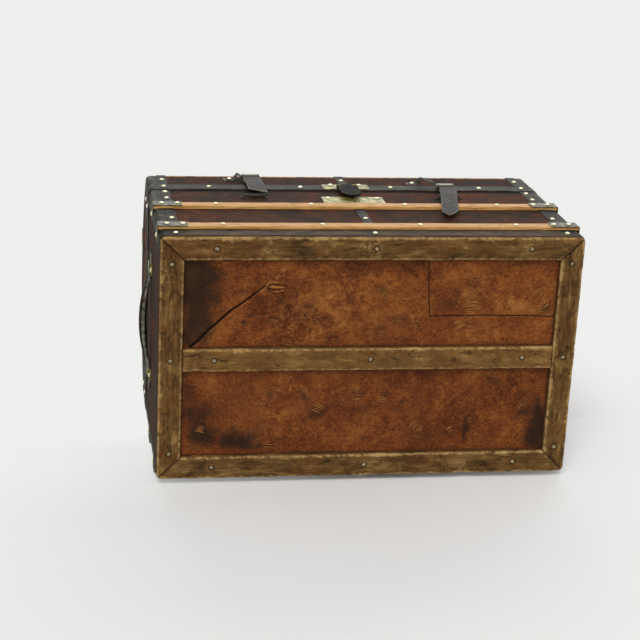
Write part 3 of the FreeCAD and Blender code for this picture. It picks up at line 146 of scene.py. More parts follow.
class Surface:
    """A material, built up in layers of colour and of bumps."""

    def __init__(self, name, roughness, metallic=0.0, specular=0.3):
        self.material = bpy.data.materials.new(name)
        self.material.use_nodes = True
        self.tree = self.material.node_tree
        self.shader = self.tree.nodes["Principled BSDF"]
        self.shader.inputs["Metallic"].default_value = metallic
        self.shader.inputs["Specular IOR Level"].default_value = specular
        self.shader.inputs["Roughness"].default_value = roughness
        self.place = self.node("ShaderNodeTexCoord").outputs["Object"]
        self.layers = self.normal = None

    def node(self, kind, inputs=None, **settings):
        return new_node(self.tree, kind, inputs, **settings)

    def axes(self):
        return self.node("ShaderNodeSeparateXYZ", {"Vector": self.place}).outputs

    def noise(self, size, detail=3.0, rough=0.55, squeeze=None, bend=0.0):
        """Noise with lumps of a size, which is divided by squeeze along each axis."""
        place = self.place
        if squeeze:
            place = self.node("ShaderNodeMapping", {"Vector": place, "Scale": squeeze}).outputs["Vector"]
        return self.node("ShaderNodeTexNoise", {"Vector": place, "Scale": 1 / size, "Detail": detail,
                                                "Roughness": rough, "Distortion": bend}).outputs["Fac"]

    def step(self, value, low, high):
        """0 below low, 1 above high and smooth between them."""
        return self.node("ShaderNodeMapRange", {"Value": value, "From Min": low, "From Max": high},
                         interpolation_type="SMOOTHSTEP").outputs["Result"]

    def spots(self, low, high, *kind, **more):
        """1 inside the lumps of a noise, which are where it is above high, and 0 where it is below low."""
        return self.step(self.noise(*kind, **more), low, high)

    def calc(self, operation, first, second=0.5):
        return self.node("ShaderNodeMath", {0: first, 1: second}, operation=operation).outputs[0]

    def times(self, first, second):
        return self.calc("MULTIPLY", first, second)

    def plus(self, first, second):
        return self.calc("ADD", first, second)

    def painted(self, name):
        """A number painted on the vertices."""
        return self.node("ShaderNodeAttribute", attribute_name=name).outputs["Fac"]

    def colour(self, value):
        self.layers = value
        connect(self.tree, self.shader.inputs["Base Color"], value)

    def ramp(self, value, *stops):
        """Starts the colour: a blend along value through stops of (value, linear colour)."""
        made = self.node("ShaderNodeValToRGB", {"Fac": value})
        points = made.color_ramp.elements
        while len(points) < len(stops):
            points.new(0.5)
        for point, (position, colour) in zip(points, stops):
            point.position, point.color = position, colour
        self.colour(made.outputs["Color"])

    def ground(self, value, *stops):
        """Starts the colour: a blend along value through stops of (value, red, green, blue)."""
        self.ramp(value, *[(position, rgb(*shade)) for position, *shade in stops])

    def tint(self, mask, shade, strength=1.0):
        """Lays a shade over the colour so far where the mask is above 0."""
        share = mask if strength == 1.0 else self.times(mask, strength)
        made = self.node("ShaderNodeMix", {0: share}, data_type="RGBA")
        below, above = [socket for socket in made.inputs if socket.type == "RGBA"]
        connect(self.tree, below, self.layers)
        connect(self.tree, above, rgb(*shade))
        self.colour([socket for socket in made.outputs if socket.type == "RGBA"][0])

    def bump(self, height, distance, strength):
        """Adds bumps to those so far."""
        inputs = {"Height": height, "Distance": distance, "Strength": strength}
        if self.normal is not None:
            inputs["Normal"] = self.normal
        self.normal = self.node("ShaderNodeBump", inputs).outputs["Normal"]
        connect(self.tree, self.shader.inputs["Normal"], self.normal)

    def rough(self, value, low, high):
        made = self.node("ShaderNodeMapRange", {"Value": value, "To Min": low, "To Max": high})
        connect(self.tree, self.shader.inputs["Roughness"], made.outputs["Result"])


# Materials. Their sizes are in metres: the body's top is at 0.342 and the lid's shoulder at 0.45.

def along(axis, squeeze, own=1.0):
    """A squeeze for noise that is drawn out along one axis."""
    return tuple(own if i == axis else squeeze for i in range(3))


def painted_rim_shadow(s):
    """Painted shadow under the lid's rim: black, fading out below it."""
    height = s.axes()["Z"]
    ragged = s.plus(height, s.times(s.noise(0.012, 3), 0.008))
    shade = s.times(s.step(ragged, 0.3270, 0.3340), s.step(height, 0.3425, 0.3420))
    s.tint(shade, (11, 10, 9), 0.92)


def weathered_wood(name, axis, golden):
    """Old hardwood, golden to olive brown, smudged with dirt, scratched, and worn pale along its edges."""
    s = Surface(name, 0.8, specular=0.08)
    grain = s.noise(0.06, 5, 0.6, along(axis, 9), 0.8)
    fine = s.noise(0.010, 5, 0.75, along(axis, 9))
    patches = s.noise(0.060, 6, 0.7, along(axis, 2.2), 0.7)
    tone = s.plus(s.times(grain, 0.35), s.times(patches, 0.65))
    s.ground(tone, (0.36, 50, 36, 20), (0.45, 84, 59, 31), (0.54, 110, 81, 43), (0.65, 150, 117, 69))
    s.tint(golden, (138, 99, 52))
    warm = s.spots(0.48, 0.60, 0.090, 4, 0.6)
    s.tint(warm, (98, 60, 28), 0.45)
    s.tint(s.step(fine, 0.52, 0.64), (48, 33, 18), 0.55)
    smudge = s.spots(0.55, 0.66, 0.030, 6, 0.75, along(axis, 1.6), 0.6)
    s.tint(smudge, (36, 26, 16), 0.72)
    bars = s.spots(0.58, 0.66, 0.030, 5, 0.75, along(axis, 0.8, 3.2))
    s.tint(bars, (52, 36, 20), 0.45)
    flecks = s.noise(0.011, 6, 0.8)
    worn = s.plus(s.times(s.painted("edge"), 0.55), s.times(flecks, 2.0))
    s.tint(s.step(worn, 1.30, 1.75), (172, 140, 90), 0.85)
    scratch = s.spots(0.66, 0.71, 0.020, 3, 0.6, along(axis, 26), 0.3)
    s.tint(scratch, (178, 150, 104), 0.5)
    specks = s.spots(0.66, 0.72, 0.004, 2)
    s.tint(specks, (28, 20, 13), 0.75)
    s.tint(s.painted("dirt"), (22, 16, 11))
    s.rough(tone, 0.9, 0.7)
    s.bump(fine, 0.0010, 0.9)
    s.bump(flecks, 0.0014, 0.7)
    return s.material


def slat_wood():
    """Paler wood with straight grain under old varnish."""
    s = Surface("slat_wood", 0.6, specular=0.05)
    grain = s.noise(0.035, 4, 0.6, along(0, 16), 0.4)
    fine = s.noise(0.007, 3, 0.6, along(0, 25))
    s.ground(grain, (0.30, 146, 98, 52), (0.52, 194, 146, 84), (0.72, 224, 182, 116))
    s.tint(s.step(fine, 0.55, 0.72), (140, 92, 56))
    grime = s.spots(0.56, 0.74, 0.050, 4, 0.65)
    s.tint(grime, (96, 64, 42), 0.6)
    s.rough(grime, 0.45, 0.7)
    s.bump(fine, 0.0004, 0.6)
    return s.material


def carcass_wood():
    """Plain sawn softwood, with a black painted shadow where it shows under the lid's rim."""
    s = Surface("carcass_wood", 0.8, specular=0.1)
    grain = s.noise(0.045, 4, 0.6, along(0, 10), 0.5)
    s.ground(grain, (0.30, 122, 88, 55), (0.52, 160, 122, 80), (0.72, 182, 146, 102))
    s.tint(s.spots(0.5, 0.7, 0.07), (92, 66, 42), 0.4)
    place = s.axes()
    # Painted shadow in the groove under the lid's rim, on the outer faces only.
    outside = s.step(s.calc("ABSOLUTE", place["Y"]), 0.2405, 0.2408)
    joint = s.times(outside, s.step(place["Z"], 0.3372, 0.3384))
    s.tint(joint, (14, 12, 11), 0.93)
    s.bump(grain, 0.0008, 0.5)
    return s.material


def leather_grain(s, size, depth):
    pebbles = s.node("ShaderNodeTexVoronoi", {"Vector": s.place, "Scale": 1 / size}, feature="SMOOTH_F1")
    pores = s.noise(size * 0.6, 2)
    s.bump(s.plus(pebbles.outputs["Distance"], s.times(pores, 0.5)), depth, 0.7)


def dark_leather():
    """Red brown leather with orange patches, blackened along the trunk, most towards the left, with painted
    shade over the lid and a painted shadow under its rim.
    """
    s = Surface("body_leather", 0.6, specular=0.03)
    place = s.axes()
    patches = s.noise(0.085, 5, 0.65, (1.1, 1.0, 0.8), 0.9)
    streaks = s.noise(0.022, 6, 0.72, (0.9, 1.4, 1.4), 0.5)
    grit = s.noise(0.008, 5, 0.75)
    both = s.plus(s.times(patches, 0.70), s.times(streaks, 0.30))
    s.ground(both, (0.38, 38, 30, 23), (0.46, 55, 39, 27), (0.53, 72, 40, 25), (0.60, 85, 40, 23),
             (0.70, 106, 56, 31))
    orange = s.spots(0.56, 0.70, 0.070, 5, 0.68, (0.9, 1.2, 1.2), 0.6)
    s.tint(orange, (122, 64, 32), 0.55)
    leftward = s.times(s.step(place["X"], 0.15, -0.30), 0.05)
    soot = s.plus(s.noise(0.075, 5, 0.7, (0.9, 1.2, 1.2), 0.8), leftward)
    s.tint(s.step(soot, 0.46, 0.66), (37, 32, 25), 0.58)
    scuffs = s.step(s.plus(s.noise(0.020, 7, 0.80, (0.8, 1.4, 1.6)), leftward), 0.57, 0.70)
    s.tint(scuffs, (98, 86, 64), 0.38)
    s.tint(s.step(grit, 0.56, 0.66), (24, 19, 14), 0.5)
    # Painted shade over the lid's leather.
    lid = s.step(place["Z"], 0.3430, 0.3440)
    s.tint(lid, (30, 14, 8), 0.35)
    shoulder = s.times(s.step(place["Z"], 0.4465, 0.4490), s.step(place["Z"], 0.4590, 0.4570))
    shoulder = s.times(shoulder, s.spots(0.43, 0.53, 0.016, 6, 0.8))
    s.tint(shoulder, (186, 136, 84), 0.9)
    # Painted shadow under the lid's rim.
    painted_rim_shadow(s)
    s.rough(grit, 0.60, 0.85)
    leather_grain(s, 0.0016, 0.0004)
    s.bump(streaks, 0.0012, 0.6)
    return s.material


def russet_leather():
    """The bottom's orange brown leather, finely mottled, with sooty stains and rubbed golden places, painted
    shade along its battens, cuts and ridges, and painted highlights on its torn scrap.
    """
    s = Surface("bottom_leather", 0.65, specular=0.10)
    place = s.axes()
    clouds = s.noise(0.120, 4, 0.6, bend=0.5)
    mottle = s.noise(0.024, 8, 0.78, bend=0.3)
    grit = s.noise(0.0055, 5, 0.8)
    both = s.plus(s.times(clouds, 0.26), s.times(mottle, 0.36))
    both = s.plus(both, s.times(grit, 0.38))
    s.ground(both, (0.39, 62, 31, 14), (0.455, 94, 49, 20), (0.505, 119, 64, 26), (0.56, 141, 84, 36),
             (0.64, 168, 114, 60))
    red = s.spots(0.50, 0.62, 0.110, 4, 0.6)
    s.tint(red, (94, 39, 17), 0.34)
    s.tint(s.step(place["Y"], -0.01, 0.01), (72, 26, 10), 0.22)
    drag = s.spots(0.53, 0.64, 0.024, 6, 0.75, (1.0, 4.5, 1.0), 0.4)
    s.tint(drag, (56, 34, 20), 0.40)
    ragged = s.times(s.calc("SUBTRACT", mottle, 0.5), 2.2)
    # Sooty stains, with painted shade along the battens and round the scuffs.
    stain_and_shade = s.plus(s.painted("stain_and_shade"), ragged)
    s.tint(s.step(stain_and_shade, 0.12, 0.90), (34, 27, 20), 0.86)
    # Rubbed golden places, and a painted highlight on the crests of the torn scrap's folds.
    light = s.plus(s.painted("rubbed"), ragged)
    s.tint(s.step(light, 0.25, 1.0), (166, 112, 56), 0.62)
    specks = s.spots(0.62, 0.70, 0.0040, 3, 0.6)
    s.tint(specks, (40, 22, 13), 0.6)
    dust = s.spots(0.64, 0.72, 0.0060, 4, 0.7, (1.0, 2.0, 1.0))
    s.tint(dust, (178, 134, 82), 0.40)
    # Painted shade in the split and cuts, round the torn scrap, on the ridges' flanks and in the scrap's
    # folds.
    s.tint(s.step(s.painted("cut"), 0.25, 0.75), (16, 11, 8))
    s.rough(mottle, 0.50, 0.80)
    leather_grain(s, 0.0018, 0.0004)
    s.bump(mottle, 0.0022, 0.8)
    return s.material


def strap_leather():
    """Near black strap leather with a pale painted highlight where it bends, rubbed brown at its edges."""
    s = Surface("strap_leather", 0.6, specular=0.03)
    clouds = s.noise(0.020, 5, 0.7)
    s.ground(clouds, (0.38, 11, 10, 8), (0.50, 27, 25, 20), (0.64, 66, 61, 49))
    brown = s.spots(0.54, 0.68, 0.032, 4, 0.6)
    s.tint(brown, (82, 60, 46), 0.45)
    # Pale where worn at edges and ends, and a painted highlight along the top of each fold.
    worn = s.plus(s.painted("edge"), s.times(s.noise(0.007, 5, 0.75), 0.9))
    s.tint(s.step(worn, 1.05, 1.6), (212, 205, 186), 0.85)
    cracks = s.spots(0.62, 0.70, 0.006, 4, 0.7, (1.0, 1.0, 4.0))
    s.tint(cracks, (16, 14, 14), 0.6)
    s.rough(clouds, 0.36, 0.62)
    leather_grain(s, 0.0012, 0.0003)
    s.bump(cracks, 0.0004, -0.5)
    return s.material


def black_steel(name, dark, middle, pale, rusty):
    """Black paint on sheet steel, rubbed grey in streaks along the trunk, with a little rust."""
    s = Surface(name, 0.55, specular=0.04)
    clouds = s.noise(0.028, 6, 0.7, (0.6, 1.4, 1.4), 0.4)
    s.ground(clouds, (0.34, *dark), (0.50, *middle), (0.68, *pale))
    rust = s.spots(0.54, 0.66, 0.022, 6, 0.75, bend=0.6)
    s.tint(rust, (78, 56, 38), rusty)
    scratches = s.spots(0.58, 0.70, 0.010, 5, 0.75, (0.8, 4.0, 5.0))
    s.tint(scratches, (140, 136, 118), 0.6)
    # Painted shadow under the lid's rim.
    painted_rim_shadow(s)
    s.rough(clouds, 0.42, 0.70)
    s.bump(clouds, 0.0010, 0.6)
    return s.material


def clamp_metal():
    """Sheet brass gone olive black, with yellow showing where it is rubbed."""
    s = Surface("clamp_metal", 0.55, metallic=0.2, specular=0.2)
    clouds = s.noise(0.014, 5, 0.7)
    s.ground(clouds, (0.40, 22, 24, 14), (0.52, 54, 54, 28), (0.68, 140, 130, 74))
    s.tint(s.spots(0.6, 0.7, 0.006, 3), (28, 27, 24), 0.5)
    s.rough(clouds, 0.6, 0.38)
    s.bump(clouds, 0.0005, 0.4)
    return s.material


def plate_brass():
    """Brass plate with a yellow green tarnish and brown spots."""
    s = Surface("plate_brass", 0.5, metallic=0.3, specular=0.25)
    clouds = s.noise(0.018, 5, 0.7)
    s.ground(clouds, (0.36, 76, 70, 28), (0.50, 120, 112, 50), (0.68, 184, 174, 96))
    spots = s.spots(0.58, 0.70, 0.005, 4, 0.7)
    s.tint(spots, (70, 60, 38), 0.7)
    s.rough(clouds, 0.55, 0.35)
    s.bump(spots, 0.0002, -0.4)
    return s.material


def nail_brass():
    """Bright brass heads, kept polished by handling and painted near white as a sheen, with painted shade
    round their rims.
    """
    s = Surface("nail_brass", 0.3, metallic=0.15, specular=0.5)
    clouds = s.noise(0.006, 3, 0.6)
    # Pale to near white, partly as a painted sheen.
    s.ground(clouds, (0.32, 222, 202, 142), (0.50, 246, 238, 198), (0.70, 254, 251, 232))
    # Painted shade round the rims.
    s.tint(s.painted("edge"), (60, 48, 22), 0.9)
    s.rough(clouds, 0.42, 0.24)
    return s.material


def screw_metal():
    s = Surface("screw_metal", 0.45, metallic=0.2, specular=0.4)
    clouds = s.noise(0.004, 4, 0.7)
    s.ground(clouds, (0.34, 120, 102, 72), (0.52, 182, 162, 124), (0.70, 226, 208, 168))
    # Painted shade in the slots, and darker towards the rims.
    s.tint(s.painted("edge"), (44, 34, 26))
    s.rough(clouds, 0.55, 0.35)
    s.bump(clouds, 0.0003, 0.5)
    return s.material


def lock_iron():
    s = Surface("lock_iron", 0.7, metallic=0.0, specular=0.04)
    clouds = s.noise(0.010, 5, 0.7)
    s.ground(clouds, (0.34, 7, 6, 5), (0.54, 13, 12, 10), (0.74, 38, 34, 28))
    s.tint(s.spots(0.60, 0.72, 0.007, 4), (58, 42, 30), 0.5)
    s.rough(clouds, 0.8, 0.55)
    s.bump(clouds, 0.0004, 0.5)
    return s.material


def lining_cloth():
    """Cream linen pasted inside, with its weave and old damp marks."""
    s = Surface("lining_cloth", 0.9, specular=0.1)
    warp, weft = [s.node("ShaderNodeTexWave", {"Vector": s.place, "Scale": 300.0, "Distortion": 1.0},
                         bands_direction=direction).outputs["Fac"] for direction in ("X", "DIAGONAL")]
    clouds = s.noise(0.120, 4, 0.6)
    s.ground(clouds, (0.34, 146, 126, 96), (0.52, 186, 170, 138), (0.70, 206, 192, 162))
    damp = s.spots(0.58, 0.62, 0.080, 5, 0.6, bend=0.6)
    s.tint(damp, (120, 92, 62), 0.35)
    threads = s.times(warp, weft)
    s.tint(threads, (120, 104, 80), 0.18)
    s.bump(threads, 0.0003, 0.6)
    return s.material


def thread():
    s = Surface("thread", 0.8, specular=0.2)
    s.ground(s.noise(0.006, 3), (0.35, 58, 50, 42), (0.65, 112, 98, 78))
    return s.material


wood_x, wood_y = weathered_wood("weathered_wood_x", 0, 0.0), weathered_wood("weathered_wood_y", 1, 0.0)
wood_centre = weathered_wood("weathered_wood_centre", 0, 0.30)
russet, strap_black, brass, screw_grey = russet_leather(), strap_leather(), nail_brass(), screw_metal()
stitch = thread()
SLOT_FINISH = {
    "weathered_wood": wood_x, "slat_wood": slat_wood(), "carcass_wood": carcass_wood(),
    "body_leather": dark_leather(), "bottom_leather": russet, "strap_leather": strap_black,
    "black_steel": black_steel("black_steel", (18, 18, 15), (38, 38, 32), (84, 85, 72), 0.40),
    "lock_steel": lock_iron(), "brass_plate": plate_brass(), "brass_nails": brass,
    "screw_steel": screw_grey, "lining": lining_cloth(),
}
clamp = clamp_metal()
NODE_FINISH = {
    "batten_centre": wood_centre, "batten_left": wood_y, "batten_right": wood_y,
    "body_slat_clamps": clamp, "lid_slat_clamps": clamp,
    "bottom_edge_strips": black_steel("edge_strip_steel", (28, 22, 14), (54, 42, 29), (94, 79, 58), 0.75),
}
# Widths of rounded edges, in mm.
SOFT_EDGES = {
    0.8: ["slat_front_lower", "slat_front_upper", "slat_back_lower", "slat_back_upper"],
    0.6: ["rim_band"], 0.5: ["hasp", "strap_loops"], 0.4: ["body_slat_clamps", "handle_loops"],
    0.35: ["body_bands", "body_corner_bindings", "lid_corner_caps", "lock_plate", "hasp_plate"],
}


def dress_nodes():
    for part in frame["record"]["subparts"]:
        name = part["node"]
        nodes[name].data.materials.clear()
        nodes[name].data.materials.append(NODE_FINISH.get(name, SLOT_FINISH[part["material_slot"]]))
    for width, names in SOFT_EDGES.items():
        for name in names:
            weld = nodes[name].modifiers.new("weld", "WELD")
            weld.merge_threshold = 0.01 * MM
            bevel = nodes[name].modifiers.new("soft_edges", "BEVEL")
            bevel.width, bevel.segments, bevel.limit_method = width * MM, 2, "ANGLE"
            bevel.angle_limit = math.radians(35)
            bevel.harden_normals = True


# Mesh helpers.

def piece(name, vertices, faces, material, body, slot, paint=None, sharp=38):
    """Makes an object. paint has a number for each vertex under each label, and edges are hard where they
    turn by more than sharp degrees. body is None for a piece that is attached to no body."""
    mesh = bpy.data.meshes.new(name)
    mesh.from_pydata([tuple(v) for v in vertices], [], [tuple(int(i) for i in f) for f in faces])
    for label, values in (paint or {}).items():
        mesh.attributes.new(label, "FLOAT", "POINT").data.foreach_set("value", np.asarray(values, np.float32))
    mesh.materials.append(material)
    mesh.shade_smooth()
    mesh.set_sharp_from_angle(angle=math.radians(sharp))
    made = bpy.data.objects.new(name, mesh)
    bpy.context.scene.collection.objects.link(made)
    if body:
        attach(made, body)
    return made


def sheet_faces(rows, columns, closed=False):
    """Quads of a net of rows by columns. A closed net joins its last column to its first."""
    return [(r * columns + c, r * columns + (c + 1) % columns,
             (r + 1) * columns + (c + 1) % columns, (r + 1) * columns + c)
            for r in range(rows - 1) for c in range(columns if closed else columns - 1)]


def loft(rings):
    """Vertices and faces of a closed tube through rings of equal counts, with its ends filled."""
    count = len(rings[0])
    vertices = [v for ring in rings for v in ring]
    faces = sheet_faces(len(rings), count, closed=True)
    last = (len(rings) - 1) * count
    return vertices, faces + [tuple(range(count))[::-1], tuple(range(last, last + count))]


def joined(parts):
    """One list of vertices and faces from several."""
    vertices, faces = [], []
    for some_vertices, some_faces in parts:
        start = len(vertices)
        vertices += list(some_vertices)
        faces += [tuple(i + start for i in face) for face in some_faces]
    return vertices, faces


SAME_PLACE = 0.02 * MM


def islands(node):
    """The separate solids of a CAD node, as arrays of points."""
    mesh = nodes[node].data
    points = np.array([v.co for v in mesh.vertices])
    keys = [tuple(k) for k in np.round(points / SAME_PLACE).astype(int)]
    parent = {k: k for k in keys}

    def find(k):
        while parent[k] != k:
            parent[k] = parent[parent[k]]
            k = parent[k]
        return k

    for polygon in mesh.polygons:
        corners = [keys[i] for i in polygon.vertices]
        for other in corners[1:]:
            parent[find(other)] = find(corners[0])
    groups = {}
    for k in set(keys):
        groups.setdefault(find(k), []).append(k)
    return [np.array(sorted(group)) * SAME_PLACE for _, group in sorted(groups.items())]


def head_places(node):
    """Foot, outward direction and radius of each nail or screw head in a CAD node."""
    found = []
    for points in islands(node):
        middle = points.mean(axis=0)
        order = np.argsort(np.linalg.norm(points - middle, axis=1))
        apex, rim = points[order[0]], points[order[1:]]
        out = Vector(apex - rim.mean(axis=0)).normalized()
        heights = (points - apex) @ np.array(out)
        foot = Vector(apex) + out * float(heights.min())
        radius = float(np.linalg.norm(rim - rim.mean(axis=0), axis=1).max())
        found.append((foot, out, radius))
    return found


def standing(out, spin):
    """The turn that makes +Z point out."""
    return out.to_track_quat("Z", "X").to_matrix() @ Matrix.Rotation(spin, 3, "Z")


TURNED_POINTS = 16
TURNED_RIM_SHADE = (1.0, 1.0, 0.25)


def turned(profile, foot, out, spin, dent, seed):
    """A turned shape from (radius, height) points, standing on foot, with a dent in its top.
    Its painted rim shade goes by ring and is 0 from the fourth on."""
    turn = standing(out, spin)
    chance = random.Random(seed)
    width, top = profile[0][0], profile[-1][1]
    hit = Vector((chance.uniform(-0.5, 0.5), chance.uniform(-0.5, 0.5))) * width
    rings, edge = [], []
    for i, (radius, height) in enumerate(profile):
        ring = []
        for k in range(TURNED_POINTS):
            angle = 2 * math.pi * k / TURNED_POINTS
            place = Vector((radius * math.cos(angle), radius * math.sin(angle), height))
            place.z -= dent * nearby((place.xy - hit).length, width * 0.45) * place.z / top
            ring.append(foot + turn @ place)
        rings.append(ring)
        edge += [TURNED_RIM_SHADE[i] if i < len(TURNED_RIM_SHADE) else 0.0] * TURNED_POINTS
    return (*loft(rings), edge)


NAIL_HEIGHT, NAIL_RIM = 3.2 * MM, 0.25 * MM
# Radius and height round a nail's dome, as shares of its own.
NAIL_DOME = [(0.95, 0.34), (0.83, 0.62), (0.60, 0.84), (0.32, 0.96), (0.08, 1)]


def brass_nail(number, foot, out, radius):
    """A domed head, a little askew and dented, that stays inside the solids' overall box."""
    chance = random.Random(number)
    r = radius * chance.uniform(0.94, 1.0)
    room = min((cad_box[o > 0][axis] - f) / o for axis, (f, o) in enumerate(zip(foot, out)) if abs(o) > 0.5)
    h = min(NAIL_HEIGHT * chance.uniform(0.9, 1.0), room - 0.1 * MM)
    profile = [(r, 0), (r, NAIL_RIM)] + [(r * across, h * up) for across, up in NAIL_DOME]
    lean = Vector([chance.gauss(0, 0.03) for _ in range(3)])
    return turned(profile, foot, (out + lean).normalized(), chance.uniform(0, 6), 0.35 * MM, number)


SLOT_HALF, SLOT_SIDE, SLOT_DEPTH = 0.55 * MM, 0.12 * MM, 0.9 * MM
SCREW_CROWN, SCREW_COLUMNS = 2.0 * MM, 13
SCREW_ROWS = [-0.97, -0.8, -0.55, -0.3]


def slotted_screw(number, foot, _, radius):
    """A domed head with a slot, as rows of points across it, that points down."""
    turn = standing(Vector((0, 0, -1)), random.Random(100 + number).uniform(0, 3.1))
    offsets = [v * radius for v in SCREW_ROWS] + [-SLOT_HALF - SLOT_SIDE, -SLOT_HALF, 0.0]
    offsets += [-v for v in reversed(offsets[:-1])]
    vertices, edge = [], []
    for v in offsets:
        half = math.sqrt(radius ** 2 - v ** 2)
        sunk = abs(v) <= SLOT_HALF + 1e-9
        for u in np.linspace(-half, half, SCREW_COLUMNS):
            far = (u * u + v * v) / radius ** 2
            height = SCREW_CROWN * (math.sqrt(max(0.0, 1 - 0.93 * far)) - 0.26) - SLOT_DEPTH * sunk
            vertices.append(foot + turn @ Vector((u, v, max(0.0, height))))
            # Painted shade in the slot, and darker towards the rim.
            edge.append(0.7 if sunk else min(1.0, max(0.0, (far - 0.40) / 0.40)))
    return vertices, sheet_faces(len(offsets), SCREW_COLUMNS), edge


def replace_heads(node, name, material, body, slot, shape):
    """Puts one piece in the place of a CAD node with many heads."""
    heads = [shape(number, *place) for number, place in enumerate(head_places(node))]
    edges = [wear for _, _, edge in heads for wear in edge]
    made = piece(name, *joined([head[:2] for head in heads]), material, body, slot, {"edge": edges})
    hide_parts(node)


# Battens: swept from one mitre to the other, their edges rounded and bruised.

BATTEN_WIDTH, BATTEN_HEIGHT, BATTEN_ROUND = 45 * MM, 12 * MM, 3.2 * MM
WELL_RADIUS, WELL_DEPTH, WELL_REACH = 5.3 * MM, 2.4 * MM, 7.2 * MM
# From screw to screw, along battens that lie along X and along Y.
SCREW_PITCH = (300 * MM, 190 * MM)
# Pitch of a net's lines where little happens, and where much does.
COARSE, FINE = 6 * MM, 0.8 * MM


def batten_section():
    """(distance from the outer edge, height above the leather, edge wear) round the three free sides."""
    w, h, r = BATTEN_WIDTH, BATTEN_HEIGHT, BATTEN_ROUND
    side = [(0, 0), (0, (h - r) * 0.5), (0, h - r)]
    turn = [(r * (1 - math.cos(a)), h - r + r * math.sin(a)) for a in (0.4, 0.8, 1.2)]
    top = [(c, h) for c in fine_lines(r, w - r, 2.6 * MM, [w / 2], 7 * MM)]
    points = side + turn + top + [(w - c, z) for c, z in reversed(side + turn)]
    wear = [nearby(min(c, w - c) - r * 0.5, 4.5 * MM) * (z > h * 0.55) for c, z in points]
    return points, wear


def fine_lines(low, high, pitch, marks, width):
    """Net lines at a pitch, with fine ones up to a width from each of the marks."""
    lines = list(np.linspace(low, high, int((high - low) / pitch) + 1))
    for mark in marks:
        lines += list(np.arange(mark - width, mark + width, FINE))
    lines = sorted(set(np.round([v for v in lines if low <= v <= high], 6)))
    return np.array([v for v, following in zip(lines, lines[1:] + [high + 1]) if following - v > 0.15 * MM])


def corner_cut(distance_to_end):
    """How far the rounded corner takes the outer edge in, near the trunk's corner."""
    short = np.clip(CORNER - distance_to_end, 0, CORNER)
    return CORNER - np.sqrt(CORNER ** 2 - short ** 2)


def batten(name, axis, side, seed):
    """One of the outer battens. axis is its length's, side says which edge of the bottom it lies at."""
    half, reach = (END, FRONT) if axis == 0 else (FRONT, END)
    points, wear = batten_section()
    c, up = np.array(points).T
    inner = 2 * half - BATTEN_WIDTH
    marks = [inner / 2 + k * SCREW_PITCH[axis] for k in (-1, 0, 1)] + [0, inner]
    rows = []
    corner = CORNER * (1 - math.sqrt(0.5))
    for along_middle in fine_lines(0, inner, COARSE, marks, WELL_REACH):
        t = along_middle / inner
        start = corner + c * (BATTEN_WIDTH - corner) / BATTEN_WIDTH
        distance = t * 2 * (half - start) + start
        near = np.minimum(distance, 2 * half - distance)
        blend = min(1.0, min(t, 1 - t) * 2 * half / (3 * MM))
        cut = corner_cut(near) * blend + corner * (1 - blend)
        inward = cut + c * (BATTEN_WIDTH - cut) / BATTEN_WIDTH
        rows.append((distance - half, reach - inward, up, 0 * up + min(t, 1 - t) * inner))
    place = np.stack([np.array(row) for row in rows])
    finish_batten(name, axis, side, np.moveaxis(place[:, :3], 1, -1), np.tile(wear, (len(rows), 1)),
                  place[:, 3], seed)


def centre_batten():
    """The batten let in between the left and the right one."""
    points, wear = batten_section()
    half = END - BATTEN_WIDTH - 0.2 * MM
    x = fine_lines(-half, half, COARSE, [-half, -SCREW_PITCH[0], 0, SCREW_PITCH[0], half], WELL_REACH)
    flat = np.array([[(along_x, BATTEN_WIDTH / 2 - c, up) for c, up in points] for along_x in x])
    finish_batten("batten_centre", 0, 1, flat, np.tile(wear, (len(x), 1)), half - np.abs(flat[..., 0]), 5)


